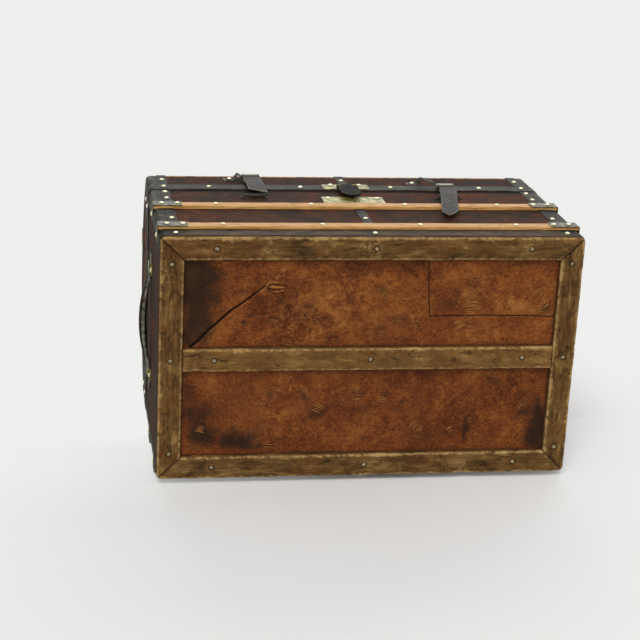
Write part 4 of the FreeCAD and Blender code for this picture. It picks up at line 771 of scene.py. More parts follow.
def finish_batten(name, axis, side, flat, wear, to_end, seed):
    """Bruises the swept surface, sinks its screw wells, turns it into place and closes its back."""
    lumps = field(flat * (1, 3, 3), 0.030, seed) - 0.5
    bites = np.clip(field(flat, 0.011, seed + 9) - 0.60, 0, 1) * 3.4
    chips = np.clip(field(flat, 0.028, seed + 5) - 0.52, 0, 1) * 4.0
    edge = np.clip(wear, 0, 1)
    joint = nearby(to_end, 1.3 * MM)
    drop = 0.35 * MM * (lumps + 0.5) + 1.5 * MM * bites * edge + 2.2 * MM * chips * edge + 1.1 * MM * joint
    height = flat[..., 2]
    height = np.where(height > 0.4 * BATTEN_HEIGHT, height - drop * height / BATTEN_HEIGHT, height)
    middle = (flat[..., 1].max() + flat[..., 1].min()) / 2
    pull = (flat[..., 1] - middle) / (BATTEN_WIDTH / 2)
    worn_in = (0.5 * MM * lumps + 0.5 * MM + 0.8 * MM * bites) * 0.6
    inward = flat[..., 1] - np.sign(pull) * (np.abs(pull) > 0.9) * worn_in
    a, b = flat[..., 0], inward * side
    x, y = (a, b) if axis == 0 else (b, a)
    dirt = 0.9 * joint
    for foot, _, _ in head_places("bottom_screws"):
        away = np.hypot(x - foot.x, y - foot.y)
        well = np.clip((WELL_RADIUS + 0.5 * MM - away) / (0.9 * MM), 0, 1)
        floor_of = BATTEN_HEIGHT - WELL_DEPTH * well
        height = np.where(height > 0.6 * BATTEN_HEIGHT, np.minimum(height, floor_of), height)
        dirt = np.maximum(dirt, np.clip((WELL_RADIUS + 0.9 * MM - away) / (1.2 * MM), 0, 0.8))
    z = BATTEN_HEIGHT - height
    rows, columns = x.shape
    vertices = np.stack([x, y, z], axis=-1).reshape(-1, 3)
    faces = sheet_faces(rows, columns, closed=True)
    faces += [tuple(range(columns)), tuple(range((rows - 1) * columns, rows * columns))[::-1]]
    if (side > 0) == (axis == 0):
        faces = [face[::-1] for face in faces]
    material = wood_centre if "centre" in name else wood_x if axis == 0 else wood_y
    paint = {"edge": (edge + 0.4 * chips).reshape(-1), "dirt": dirt.reshape(-1)}
    made = piece(f"{name}_worn", vertices, faces, material, "body", "weathered_wood", paint, sharp=50)
    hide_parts(name)


# The bottom's leather: a fine net with its split, cuts and ridges, and torn scraps on top.

LEATHER_FACE, LEATHER_THICK, LEATHER_PITCH = 12 * MM, 1.45 * MM, 2.2 * MM
# Lines in mm: a split with raised lips, and two cuts.
SPLIT = [(-345, -24), (-305, -64), (-268, -98), (-234, -124), (-203, -149), (-186, -165)]
CUT_DOWN = [(104, -197), (107, -140), (112, -83)]
CUT_ALONG = [(112, -83), (200, -84), (290, -83), (362, -81)]
# Middle, half sizes and strength of each spot, in mm.
STAINS = [(-345, -150, 48, 60, 1.15), (-318, -172, 26, 24, 0.9), (-332, -80, 30, 46, 1.05),
          (-300, -128, 22, 34, 0.75), (-352, -50, 18, 24, 1.0), (-290, -95, 22, 16, 0.6),
          (-255, -125, 20, 12, 0.45), (-324, 158, 30, 28, 1.1), (-330, 118, 34, 30, 0.7),
          (-247, 166, 38, 24, 0.95), (-292, 120, 40, 26, 0.5), (-250, 80, 60, 30, 0.35),
          (-345, 60, 20, 60, 0.5), (344, 150, 20, 60, 0.95), (318, 118, 24, 22, 0.6),
          (210, 147, 8, 28, 0.9), (-96, 111, 24, 13, 0.75), (-20, 104, 76, 10, 0.5),
          (60, 106, 50, 7, 0.4), (-193, 177, 18, 6, 0.9), (-234, -64, 8, 8, 0.85),
          (-189, -74, 8, 9, 0.75), (155, -105, 26, 20, 0.55), (185, -62, 36, 9, 0.5),
          (332, -130, 14, 18, 0.5), (60, -30, 70, 8, 0.35), (-40, -185, 90, 8, 0.4),
          (-178, -120, 16, 12, 0.5), (105, 165, 14, 12, 0.4), (170, 160, 10, 12, 0.45),
          (300, -190, 70, 7, 0.4), (197, -150, 19, 11, 0.6), (-170, -35, 9, 9, 0.5),
          (-150, -150, 22, 14, 0.35), (70, -130, 40, 24, 0.25), (130, 150, 60, 20, 0.25)]
RUBBED = [(-100, -95, 110, 70, 0.55), (-93, -130, 60, 36, 0.6), (-30, -60, 40, 30, 0.5),
          (-170, 90, 26, 46, 0.45), (-150, 40, 40, 14, 0.4), (280, -110, 36, 30, 0.6),
          (250, -45, 50, 20, 0.4), (30, 150, 60, 26, 0.35), (197, -130, 24, 12, 0.6),
          (-60, 60, 60, 20, 0.35), (130, 60, 70, 18, 0.3), (-110, -180, 30, 10, 0.4),
          (0, -150, 60, 20, 0.4), (-215, -140, 30, 12, 0.4), (270, 60, 50, 16, 0.3),
          (-60, -40, 70, 20, 0.4)]
# Middle and half sizes, in mm, of the painted shadow round the torn scrap.
FLAP = (-183, -141, 17.5, 11.5)
# Middle, radius and height of low bumps, or of hollows where the height is below 0.
BUMPS = [(-173, -174, 6, 0.8), (168, -111, 6, 0.6), (-234, -64, 6, -0.9), (-189, -73, 5, -0.8),
         (-324, 146, 9, -1.0)]


def near_line(x, y, line):
    """Distance to a line of points, and how far along it the nearest point is, from 0 to 1."""
    best, share = np.full(x.shape, 1e9), np.zeros(x.shape)
    for i, (start, end) in enumerate(zip(line, line[1:])):
        start, end = np.array(start) * MM, np.array(end) * MM
        run = end - start
        t = np.clip(((x - start[0]) * run[0] + (y - start[1]) * run[1]) / (run @ run), 0, 1)
        away = np.hypot(x - start[0] - t * run[0], y - start[1] - t * run[1])
        share = np.where(away < best, (i + t) / (len(line) - 1), share)
        best = np.minimum(best, away)
    return best, share


def blots(x, y, places, seed):
    """Ragged spots, each with its middle, half sizes and strength."""
    flat = np.stack([x, y, 0 * x], -1)
    x = x + (field(flat, 0.034, seed) - 0.5) * 26 * MM + (field(flat, 0.009, seed + 1) - 0.5) * 8 * MM
    y = y + (field(flat, 0.034, seed + 2) - 0.5) * 26 * MM + (field(flat, 0.009, seed + 3) - 0.5) * 8 * MM
    total = np.zeros(x.shape)
    for cx, cy, wide, high, amount in places:
        far = ((x / MM - cx) / wide) ** 2 + ((y / MM - cy) / high) ** 2
        total = np.maximum(total, amount * np.exp(-far * 0.8))
    return total


def leather_relief(x, y):
    """The leather's height, and the painted shade in its split and cuts and round the torn scrap, at places
    on the trunk's bottom.
    """
    flat = np.stack([x, y, 0 * x], -1)
    sway = (field(flat, 0.018, 3) - 0.5) * 3.0 * MM
    z = LEATHER_FACE + 0.5 * MM * (field(flat, 0.050, 1) - 0.5) + 0.25 * MM * (field(flat, 0.012, 2) - 0.5)
    away, share = near_line(x + sway, y, SPLIT)
    width = (3.3 - 2.0 * share) * MM
    z += 1.3 * MM * nearby(away, width)
    z -= 1.5 * MM * nearby(away - 2.6 * width, 1.6 * width) * (1 - 0.5 * share)
    # Painted shade in the split, and below it in the cuts.
    cut = nearby(away, width * 0.95)
    for line in (CUT_DOWN, CUT_ALONG):
        away, _ = near_line(x + sway * 0.3, y + sway * 0.3, line)
        z += 0.7 * MM * nearby(away, 1.5 * MM)
        z -= 0.45 * MM * nearby(away - 4 * MM, 3 * MM)
        cut = np.maximum(cut, 0.85 * nearby(away, 1.3 * MM))
    for cx, cy, radius, rise in BUMPS:
        z -= rise * MM * nearby(np.hypot(x - cx * MM, y - cy * MM), radius * MM)
    # Painted shadow round the torn scrap's edge.
    flap_x, flap_y, flap_wide, flap_high = FLAP
    flap = np.hypot((x / MM - flap_x) / flap_wide, (y / MM - flap_y) / flap_high)
    cut = np.maximum(cut, 0.62 * nearby(flap - 1.02, 0.09))
    covered = (np.abs(x) > END - BATTEN_WIDTH + MM) | (np.abs(y) > FRONT - BATTEN_WIDTH + MM)
    covered |= np.abs(y) < BATTEN_WIDTH / 2 - MM
    return np.where(covered, LEATHER_FACE + 0.05 * MM, z), cut


def round_corners(x, y, half_x, half_y):
    """Draws the corners of a net in, so that its outline is rounded."""
    for sign_x, sign_y in itertools.product((-1, 1), repeat=2):
        centre = Vector((sign_x * (half_x - CORNER), sign_y * (half_y - CORNER)))
        beyond = (x * sign_x > half_x - CORNER) & (y * sign_y > half_y - CORNER)
        reach = np.maximum(np.hypot(x - centre.x, y - centre.y), 1e-9)
        most = np.maximum(np.abs(x - centre.x), np.abs(y - centre.y))
        x = np.where(beyond, centre.x + (x - centre.x) * most / reach, x)
        y = np.where(beyond, centre.y + (y - centre.y) * most / reach, y)
    return x, y


def bottom_leather():
    half_x, half_y = END - 1.6 * MM, FRONT - 1.6 * MM
    xs = fine_lines(-half_x, half_x, LEATHER_PITCH, [108 * MM], 7 * MM)
    ys = fine_lines(-half_y, half_y, LEATHER_PITCH, [-82.5 * MM], 4 * MM)
    x, y = np.meshgrid(xs, ys)
    z, cut = leather_relief(x, y)
    x, y = round_corners(x, y, half_x, half_y)
    rows, columns = x.shape
    face = np.stack([x, y, z], -1).reshape(-1, 3)
    back = np.stack([x, y, 0 * x + LEATHER_FACE + LEATHER_THICK], -1)
    border = [(0, c) for c in range(columns)] + [(r, columns - 1) for r in range(1, rows)]
    border += [(rows - 1, c) for c in range(columns - 2, -1, -1)] + [(r, 0) for r in range(rows - 2, 0, -1)]
    vertices = list(face) + [back[r, c] for r, c in border]
    faces = [f[::-1] for f in sheet_faces(rows, columns)]
    start = rows * columns
    rim = [r * columns + c for r, c in border]
    count = len(border)
    faces += [(rim[i], rim[(i + 1) % count], start + (i + 1) % count, start + i) for i in range(count)]
    faces.append(tuple(start + i for i in range(count)))
    plain = np.zeros(count)
    # Dark halos round the scuff clusters: soot, and painted shade round their ridges.
    halos = [(cx, cy, length * 0.75, number * gap * 0.6 + 5, 0.5)
             for cx, cy, _, number, length, _, gap, _ in SCUFFS]
    # Painted shade on the leather along the battens, where they stand up from it.
    to_wood = np.minimum(END - BATTEN_WIDTH - np.abs(x), FRONT - BATTEN_WIDTH - np.abs(y))
    to_wood = np.minimum(to_wood, np.abs(y) - BATTEN_WIDTH / 2)
    grime = 0.75 * np.exp(-np.maximum(to_wood, 0) / (5 * MM))
    stain_and_shade = np.maximum(blots(x, y, STAINS, 31), np.maximum(blots(x, y, halos, 51), grime))
    made = leather_piece("bottom_leather_worn", vertices, faces, np.append(blots(x, y, RUBBED, 41), plain),
                         np.append(stain_and_shade, plain), np.append(cut, plain), sharp=60)
    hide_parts("bottom_leather")


def leather_piece(name, vertices, faces, rubbed, stain_and_shade, cut, sharp=38):
    """A piece of the bottom's leather. Each kind of paint is one number, or one for each vertex."""
    kinds = {"rubbed": rubbed, "stain_and_shade": stain_and_shade, "cut": cut}
    paint = {label: np.broadcast_to(values, len(vertices)) for label, values in kinds.items()}
    return piece(name, vertices, faces, russet, "body", "bottom_leather", paint, sharp)


def ridge(x, y, angle, length, width, height, bend):
    """A lifted, tapering fold of leather, as a small arched strip."""
    rings = []
    for k in range(RIDGE_RINGS):
        t = k / (RIDGE_RINGS - 1) - 0.5
        turn = angle + bend * t
        centre = Vector((x + length * math.cos(angle + bend * t * 0.5) * t,
                         y + length * math.sin(angle + bend * t * 0.5) * t, LEATHER_FACE + 0.25 * MM))
        side = Vector((-math.sin(turn), math.cos(turn), 0))
        taper = max(0.06, math.cos(math.pi * t) ** 0.7)
        rings.append([centre + side * width * taper * u + Vector((0, 0, -height * taper * h))
                      for u, h, _ in RIDGE_SECTION])
    return loft(rings)


RIDGE_RINGS = 9
# Across (in widths), height (in heights) and painted shade round a ridge.
RIDGE_SECTION = [(-1.0, -0.1, 0.2), (-0.62, 0.05, 0.9), (-0.40, 0.6, 0.1), (-0.12, 1.0, 0), (0.12, 1.0, 0),
                 (0.40, 0.6, 0.1), (0.62, 0.05, 0.9), (1.0, -0.1, 0.2)]
# Middle, direction, number, length, width and spacing of the ridges in a cluster, and how they bend.
SCUFFS = [
    (-200, -152, 2.5, 4, 24, 2.4, 1.6, 0.1), (-184, -162, 2.4, 3, 20, 2.2, 1.8, 0.2),
    (193, -100, 0.1, 6, 42, 2.6, 4.8, 0.8), (171, -67, -0.5, 4, 28, 3.2, 5.0, -0.6),
    (155, -122, -0.9, 3, 16, 2.2, 5.0, 0.9), (203, -134, -0.7, 3, 26, 1.8, 4.0, 0.1),
    (196, -156, 0.1, 3, 28, 1.4, 7.0, 0.1), (327, -128, -0.9, 5, 22, 2.4, 4.8, 0.8),
    (338, -110, -0.7, 4, 22, 2.2, 4.8, -0.5), (328, -96, -0.2, 3, 18, 2.0, 5.0, 0.6),
    (10, -131, -0.5, 4, 18, 1.8, 5.0, 0.7), (24, -124, -1.2, 3, 16, 1.6, 4.8, -0.8),
    (-2, -58, 0.3, 4, 18, 1.6, 4.8, 0.6), (20, -48, 0.1, 3, 18, 1.4, 5.0, 0.4),
    (50, -70, 0.05, 3, 28, 1.2, 5.0, 0.1), (86, -66, -0.4, 3, 16, 1.8, 4.8, 0.8),
    (-122, 68, -0.8, 6, 16, 1.8, 5.0, 0.6), (-96, 104, 0.5, 4, 26, 2.4, 5.0, 0.5),
    (-21, 83, 0.2, 3, 20, 2.2, 4.2, -0.8), (30, 87, 0.2, 3, 20, 2.8, 4.4, 0.9),
    (-200, 78, 0.1, 3, 12, 1.8, 6.0, 0.2), (-201, 96, 0.1, 2, 11, 1.8, 5.0, 0.2),
    (-322, 143, 0.4, 4, 22, 2.2, 4.4, 0.5), (102, 148, -0.9, 6, 24, 2.4, 4.6, 0.9),
    (108, 162, 0.5, 4, 18, 2.2, 4.4, -0.7), (168, 152, -0.5, 3, 18, 2.4, 4.6, 0.8),
    (312, 97, 0.9, 5, 22, 2.2, 5.0, 0.9), (208, 132, -0.2, 2, 12, 1.8, 5.0, 0.2),
    (-193, 177, 0.0, 3, 24, 2.0, 4.6, 0.1), (-248, 40, 0.1, 2, 14, 1.2, 6.0, 0.1),
    (250, 40, -0.1, 2, 18, 1.2, 6.0, 0.1), (76, 100, 0.1, 2, 14, 1.6, 5.0, 0.2),
    (-160, -30, 0.2, 2, 26, 1.8, 5.0, 0.1), (-234, -64, 0.4, 2, 14, 2.0, 5.0, 0.7),
    (-189, -73, 0.3, 3, 18, 2.2, 4.6, 0.8)]


def leather_scuffs():
    """Clusters of ridges that were scraped up from the leather."""
    parts = []
    chance = random.Random(7)
    for x, y, angle, number, length, width, gap, bend in SCUFFS:
        for k in range(number):
            off = (k - (number - 1) / 2) * gap
            cx = x - math.sin(angle) * off + chance.gauss(0, 0.7)
            cy = y + math.cos(angle) * off + chance.gauss(0, 0.7)
            parts.append(ridge(cx * MM, cy * MM, angle + chance.gauss(0, 0.10),
                               length * chance.uniform(0.6, 1.1) * MM, width * chance.uniform(0.7, 1.1) * MM,
                               chance.uniform(1.0, 1.9) * MM, bend + chance.uniform(-0.3, 0.3)))
    vertices, faces = joined(parts)
    # Painted shade on the ridges' flanks.
    cut = [flank_shade for _, _, flank_shade in RIDGE_SECTION] * (len(vertices) // len(RIDGE_SECTION))
    leather_piece("bottom_leather_scuffs", vertices, faces, 0.85, 0.0, cut)


FLAP_RINGS, FLAP_POINTS, FLAP_THICK = 26, 15, 1.1 * MM
# Middle and radius of the heads of two old nails, in mm.
OLD_NAILS = [(-173, -174, 4.6), (168, -111, 3.4)]
OLD_NAIL_DOME = [(1, -0.6), (1, 0.5), (0.85, 1.3), (0.5, 2.0), (0.12, 2.2)]


def leather_flap():
    """The scrap that curls up at the end of the split."""
    rings, light, painted_fold_shade = [], [], []
    side = Vector((-0.25, 0.97, 0)).normalized()
    for k in range(FLAP_RINGS):
        t = k / (FLAP_RINGS - 1)
        half = 10.5 * MM * math.sin(math.pi * min(1, 0.16 + 0.84 * t)) ** 0.55 * (1.0 if t < 0.95 else 0.8)
        lift = 0.5 * MM + 4.2 * MM * t ** 1.6
        centre = Vector((-200 * MM + 32 * MM * t, -146 * MM + 7 * MM * t - 4 * MM * t * t, 0))
        ring = []
        for u in np.linspace(-1, 1, FLAP_POINTS):
            fold = math.sin(6.0 * u + 2.4 * t)
            curl = lift + 1.6 * MM * u * u * t + 0.8 * MM * fold * math.sin(math.pi * t)
            ring.append(centre + side * half * u + Vector((0, 0, LEATHER_FACE - curl)))
            # Painted highlight on the crests of its folds, painted shade in their troughs and on its
            # underside.
            light.append(0.2 + 0.8 * max(0.0, fold))
            painted_fold_shade.append(0.8 * max(0.0, -fold) ** 2)
        ring += [v + Vector((0, 0, FLAP_THICK)) for v in reversed(ring)]
        light += [0.2] * FLAP_POINTS
        painted_fold_shade += [0.6] * FLAP_POINTS
        rings.append(ring)
    vertices, faces = loft(rings)
    leather_piece("bottom_leather_flap", vertices, [f[::-1] for f in faces], light, 0.1, painted_fold_shade)


def old_nails():
    """Two nail heads that stand out under the leather."""
    parts = []
    for i, (x, y, radius) in enumerate(OLD_NAILS):
        profile = [(radius * across * MM, height * MM) for across, height in OLD_NAIL_DOME]
        foot, out = Vector((x * MM, y * MM, LEATHER_FACE)), Vector((0.1, -0.1, -1)).normalized()
        parts.append(turned(profile, foot, out, i, 0.5 * MM, i)[:2])
    leather_piece("bottom_leather_bosses", *joined(parts), 0.6, 0.1, 0.0)


# Leather strips: a rounded flat section swept along a line in a plane.

STRIP_PITCH = 2.2 * MM


def smooth_line(points):
    """Corners rounded off three times, then evenly spaced, and the line's length."""
    line = [np.array(p, float) for p in points]
    for _ in range(3):
        cut = [line[0]]
        for a, b in zip(line, line[1:]):
            cut += [a * 0.75 + b * 0.25, a * 0.25 + b * 0.75]
        line = cut + [line[-1]]
    line = np.array(line)
    steps = np.concatenate([[0], np.cumsum(np.linalg.norm(np.diff(line, axis=0), axis=1))])
    count = max(4, int(steps[-1] / STRIP_PITCH))
    wanted = np.linspace(0, steps[-1], count + 1)
    return np.stack([np.interp(wanted, steps, line[:, i]) for i in range(2)], -1), steps[-1]


def strip_section(width, thickness, across=11):
    """Points (across, through, edge wear) round a flat strip with rounded edges."""
    half, r = width / 2, thickness / 2
    top = [(u, r) for u in np.linspace(-half + r, half - r, across)]
    turn = [(half - r + r * math.cos(a), r * math.sin(a)) for a in (1.05, 0.52, 0, -0.52, -1.05)]
    points = top + turn + [(-u, -v) for u, v in top + turn]
    return [(u, v, nearby(half - abs(u), 2.2 * MM)) for u, v in points]


def strip(name, line, width, thickness, plane, body, taper=None, rise=None, highlight_at=None, seed=0):
    """plane is an origin and two directions. The line's points are distances along them, in mm, and the
    strip's width lies across them. taper narrows it by the distance from its start, rise lifts it by the
    distance along the first direction, and it gets a painted highlight at the height highlight_at."""
    points, total = smooth_line(np.array(line) * MM)
    section = strip_section(width, thickness)
    origin, first, second = (Vector(v) for v in plane)
    across = first.cross(second)
    rings, wear = [], []
    for k, p in enumerate(points):
        before, after = points[max(0, k - 1)], points[min(len(points) - 1, k + 1)]
        run = after - before
        run /= np.linalg.norm(run)
        out = Vector(first * -run[1] + second * run[0])
        centre = origin + first * p[0] + second * p[1]
        if rise:
            centre.z += rise(p[0] / MM) * MM
        t = k / (len(points) - 1)
        to_end = min(t, 1 - t) * total
        narrow = taper(t * total) if taper else 1.0
        ends = min(1.0, 0.72 + to_end / (1.5 * MM) * 0.28)
        wave = 0.5 * MM * math.sin(7 * t + seed) * (0 < k < len(points) - 1)
        rings.append([centre + across * u * narrow * (ends if abs(v) < thickness * 0.2 else 1)
                      + out * (v * ends + wave * (u / width)) for u, v, _ in section])
        # Edges and ends are worn pale; at highlight_at the pale is a painted highlight along the top of the
        # fold.
        rubbed = nearby(centre.z - highlight_at, 8 * MM) if highlight_at else 0.0
        wear += [max(0.75 * edge, 1.6 * rubbed, nearby(to_end, 3 * MM)) for _, _, edge in section]
    vertices, faces = loft(rings)
    return piece(name, vertices, faces, strap_black, body, "strap_leather", {"edge": wear}, sharp=55)


THREAD, STITCH_HALF = 0.45 * MM, 1.6 * MM


def stitches(name, places, body):
    """Short raised threads. Each place is (middle, direction, outward)."""
    parts = []
    for middle, run, out in places:
        side = run.cross(out).normalized()
        rings = []
        for t, r in ((-1, 0.35), (-0.6, 0.9), (0, 1.0), (0.6, 0.9), (1, 0.35)):
            centre = middle + run * t * STITCH_HALF + out * (0.25 * MM * (1 - t * t))
            rings.append([centre + (side * math.cos(a) + out * math.sin(a)) * r * THREAD
                          for a in (0, 1.05, 2.09, 3.14, 4.19, 5.24)])
        parts.append(loft(rings))
    piece(name, *joined(parts), stitch, body, "strap_leather")


# Straps. Heights and offsets from the front are in mm; along a strap's front, x is from its middle.

STRAP_WIDTH, STRAP_THICK, FOLD_TALL = 36, 3.0, 33.8
KEEPER_WIDTH, KEEPER_THICK = 22, 2.5
STRAP_X = {"left": -190, "right": 210}
FOLD_LOW = {"left": 404.0, "right": 332.0}
BACK_LAYER, KEEPER_LAYER, FRONT_LAYER, HANGING = 3.8, 6.85, 9.9, 12.5
ARCH, FOOT = {"left": 12.5, "right": 15.9}, 1.25
KEEPER_START = {"left": -56, "right": -73}
KEEPER_LIFT = {"left": 0.0, "right": 45.0}
TONGUE_END = {"left": [(0, -18, 310), (1, 18, 283)],
              "right": [(0, -55, 140), (0.22, -47, 114), (1, -19, 152)]}
KICK_DROP, TIP_ROUND = 74, 4.0


def strap_fold(side):
    """The strap's end, brought up over its keeper, down behind it and sewn to itself."""
    low, x = FOLD_LOW[side], STRAP_X[side]
    top = low + FOLD_TALL
    plane = (x * MM, -FRONT, 0), (0, -1, 0), (0, 0, 1)
    over = [(FRONT_LAYER, low + 0.2), (FRONT_LAYER, low + 16), (FRONT_LAYER, top - 4),
            (FRONT_LAYER - 0.4, top - 0.6), (KEEPER_LAYER, top), (BACK_LAYER + 0.4, top - 0.6),
            (BACK_LAYER, top - 4), (BACK_LAYER, low + 16), (BACK_LAYER, low + 0.2)]
    # A painted highlight along the top of the fold.
    wrap = strip(f"strap_wrap_{side}", over, STRAP_WIDTH * MM, STRAP_THICK * MM, plane, "lid",
                 highlight_at=(top - 5) * MM)
    filler = strip(f"strap_filler_{side}", [(KEEPER_LAYER, low + up) for up in (0.8, 5, 9)],
                   (STRAP_WIDTH - 1) * MM, STRAP_THICK * MM, plane, "lid")
    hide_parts("strap_folds")
    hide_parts("strap_folds")
    face = -FRONT - (FRONT_LAYER + STRAP_THICK / 2 + 0.15) * MM
    rows = [(u, up, (1, 0, 0)) for up in (3.2, 7.0) for u in np.arange(-14.7, 15, 4.2)]
    rows += [(u, up, (0, 0, 1)) for u in (-14.9, 14.9) for up in np.arange(11.4, 30, 4.2)]
    places = [(Vector(((x + u) * MM, face, (low + up) * MM)), Vector(run), Vector((0, -1, 0)))
              for u, up, run in rows]
    stitches(f"strap_wrap_thread_{side}", places, "lid")


def strap_keeper(side):
    """Nailed flat at its left end, arched up, and down again into the fold."""
    start = KEEPER_START[side]
    foot, entry, top = start + 20, -STRAP_WIDTH / 2 - 2, ARCH[side]
    arch = [(start, FOOT), (foot - 2, FOOT), (foot + 1, 3.0), (foot + 6, top - 2), (foot + 8, top),
            (entry - 6, top), (entry - 4, top - 2), (entry, KEEPER_LAYER + 0.6), (entry + 3, KEEPER_LAYER),
            (0, KEEPER_LAYER), (STRAP_WIDTH / 2 - 1, KEEPER_LAYER)]
    height = FOLD_LOW[side] + 21

    def rise(along_front):
        share = min(1.0, max(0.0, (entry - along_front) / (entry - foot)))
        return KEEPER_LIFT[side] * share

    plane = (STRAP_X[side] * MM, -FRONT, height * MM), (1, 0, 0), (0, -1, 0)
    made = strip(f"strap_bridge_{side}", arch, KEEPER_WIDTH * MM, KEEPER_THICK * MM, plane, "lid",
                 taper=lambda from_start: min(1.0, 0.62 + from_start / (9 * MM) * 0.38), rise=rise,
                 seed=len(side))
    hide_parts("strap_keepers")


def strap_tongue(side):
    """The strap's loose end: a sheet whose lines run from its fold to its slanted tip. Sizes are in mm."""
    top = FOLD_LOW[side] - 0.4
    shares, ends_x, ends_z = zip(*TONGUE_END[side])
    half = STRAP_WIDTH / 2
    section = strip_section(STRAP_WIDTH * MM, STRAP_THICK * MM, 15)
    steps = int((top - min(ends_z)) / 4)
    rings, wear = [], []
    for k in range(steps + 1):
        t = k / steps
        ring = []
        for u, v, edge in section:
            across = -u / MM
            share = (across / half + 1) / 2
            short = TIP_ROUND - min(half - abs(across), TIP_ROUND)
            rounding = TIP_ROUND - math.sqrt(TIP_ROUND ** 2 - short ** 2)
            end_x, end_z = np.interp(share, shares, ends_x), np.interp(share, shares, ends_z) + rounding
            x, z = across + (end_x - across) * t, top + (end_z - top) * t
            down = min(1.0, (top - z) / KICK_DROP)
            off = FRONT_LAYER + (HANGING - FRONT_LAYER) * down * down * (3 - 2 * down)
            off -= 0.5 * down * (0.5 + 0.5 * math.sin(z * 0.06 + across * 0.11))
            thin = min(1.0, 0.55 + (1 - t) * (top - end_z) / 1.6 * 0.45)
            ring.append(Vector(((STRAP_X[side] + x) * MM, -FRONT - off * MM - v * thin, z * MM)))
            wear.append(max(0.75 * edge, nearby((1 - t) * (top - end_z), 3.0)))
        rings.append(ring)
    made = piece(f"strap_end_{side}", *loft(rings), strap_black, f"strap_{side}", "strap_leather",
                 {"edge": wear}, sharp=55)
    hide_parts(f"strap_tongue_{side}")


# Handles: a padded strap, thick in the middle, flat where its loops hold it.

HANDLE_Z = 240 * MM
# In mm: where the grip goes over into its flat ends, where their tips begin, half the height, how much
# less that is in the middle, and the seam's distance from the edge.
GRIP_REACH, TIP_START, HANDLE_TALL, GRIP_WAIST, SEAM_IN = 101.0, 140, 13.0, 1.6, 2.9
HANDLE_POINTS = 28


def handle_outline(y):
    """Offsets of the inner and outer faces from the end leather, in mm, at a distance from the middle,
    and how full the grip is there, from 0 to 1."""
    share = max(0.0, 1 - (y / GRIP_REACH) ** 2)
    return 0.2 + 8.3 * share, 4.2 + 19.6 * share ** 0.9, max(0.0, 1 - y / GRIP_REACH)


def handle_ring(y, sx, sy):
    """Points round the handle at a distance from its middle, and how worn each is."""
    inner, outer, bulk = handle_outline(y)
    middle, half = (inner + outer) / 2, (outer - inner) / 2
    tall = HANDLE_TALL - GRIP_WAIST * bulk - max(0.0, y - TIP_START) * 0.5
    power = 0.34 + 0.42 * min(1, 2.2 * bulk)
    ring, wear = [], []
    for a in range(HANDLE_POINTS):
        angle = 2 * math.pi * a / HANDLE_POINTS
        u, v = math.cos(angle), math.sin(angle)
        z = tall * math.copysign(abs(u) ** (power * 0.9), u)
        seam = 0.8 * nearby(abs(z) - tall + 2.4, 0.9) * (v > 0.05)
        x = middle + (half - seam * 0.5) * math.copysign(abs(v) ** power, v)
        ring.append(Vector((sx * (END + x * MM), sy * y * MM, HANDLE_Z + z * MM)))
        wear.append(0.8 * nearby(tall - abs(z), 1.5) + 0.5 * (v > 0.9) * bulk)
    return ring, wear


def handle_stitches(name, body, low, high, sx, sy):
    """Two rows of stitches along the handle's outer face, from low to high mm from its middle."""
    places = []
    for y in np.arange(low, high, 4.4):
        inner, outer, bulk = handle_outline(y)
        run = Vector((sx * (handle_outline(y + 1)[1] - outer), sy * 1.0, 0)).normalized()
        out = (Vector((sx, 0, 0)) - run * run.x * sx).normalized()
        depth = outer - (outer - inner) * 0.17 * min(1, 2.2 * bulk)
        for k in (-1, 1):
            z = (HANDLE_TALL - GRIP_WAIST * bulk - SEAM_IN) * k
            places.append((Vector((sx * (END + depth * MM), sy * y * MM, HANDLE_Z + z * MM)), run, out))
    stitches(name, places, body)


def handles():
    """Each handle in two halves, which meet at its middle."""
    stations = np.concatenate([np.linspace(0, 100, 41), np.linspace(103, 144, 14), [144.8]])
    for (side, sx), (face, sy) in itertools.product(SIDES.items(), (("front", -1), ("back", 1))):
        rings, wear = zip(*[handle_ring(y, sx, sy) for y in stations])
        vertices, faces = loft(rings)
        if sx * sy > 0:
            faces = [f[::-1] for f in faces]
        made = piece(f"handle_{side}_{face}", vertices, faces, strap_black, None, "strap_leather",
                     {"edge": sum(wear, [])}, sharp=60)
        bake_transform(made)
        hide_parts("handle_ends", f"handle_grip_{side}")
        for part, body, low, high in (("grip", f"handle_{side}", 3, 70), ("tab", "body", 124, 142)):
            handle_stitches(f"handle_thread_{side}_{face}_{part}", body, low, high, sx, sy)


# Stage: the floor the trunk lies on in the picture, one for upright views, light and camera.

def floor(name, corners, faces, tone, shown):
    """A pale floor that shows from one side only, lets light through and keeps the shadow.
    shown is 1 at a corner where it is whole and 0 where it has faded out."""
    mesh = bpy.data.meshes.new(name)
    mesh.from_pydata(corners, [], faces)
    mesh.attributes.new("shown", "FLOAT", "POINT").data.foreach_set("value", np.asarray(shown, np.float32))
    made = bpy.data.objects.new(name, mesh)
    bpy.context.scene.collection.objects.link(made)
    s = Surface(name, 0.9, specular=0.0)
    s.ramp(s.noise(0.5, 2), (0.3, (tone - 0.005, tone - 0.01, tone - 0.02, 1)),
           (0.7, (tone + 0.005, tone, tone - 0.01, 1)))
    back = s.node("ShaderNodeNewGeometry").outputs["Backfacing"]
    facing = s.times(s.calc("SUBTRACT", 1.0, back), s.painted("shown"))
    show(s.tree, s.times(looked_at(s.tree), facing), s.node("ShaderNodeBsdfTransparent"), s.shader)
    mesh.materials.append(s.material)


FAR = 40.0
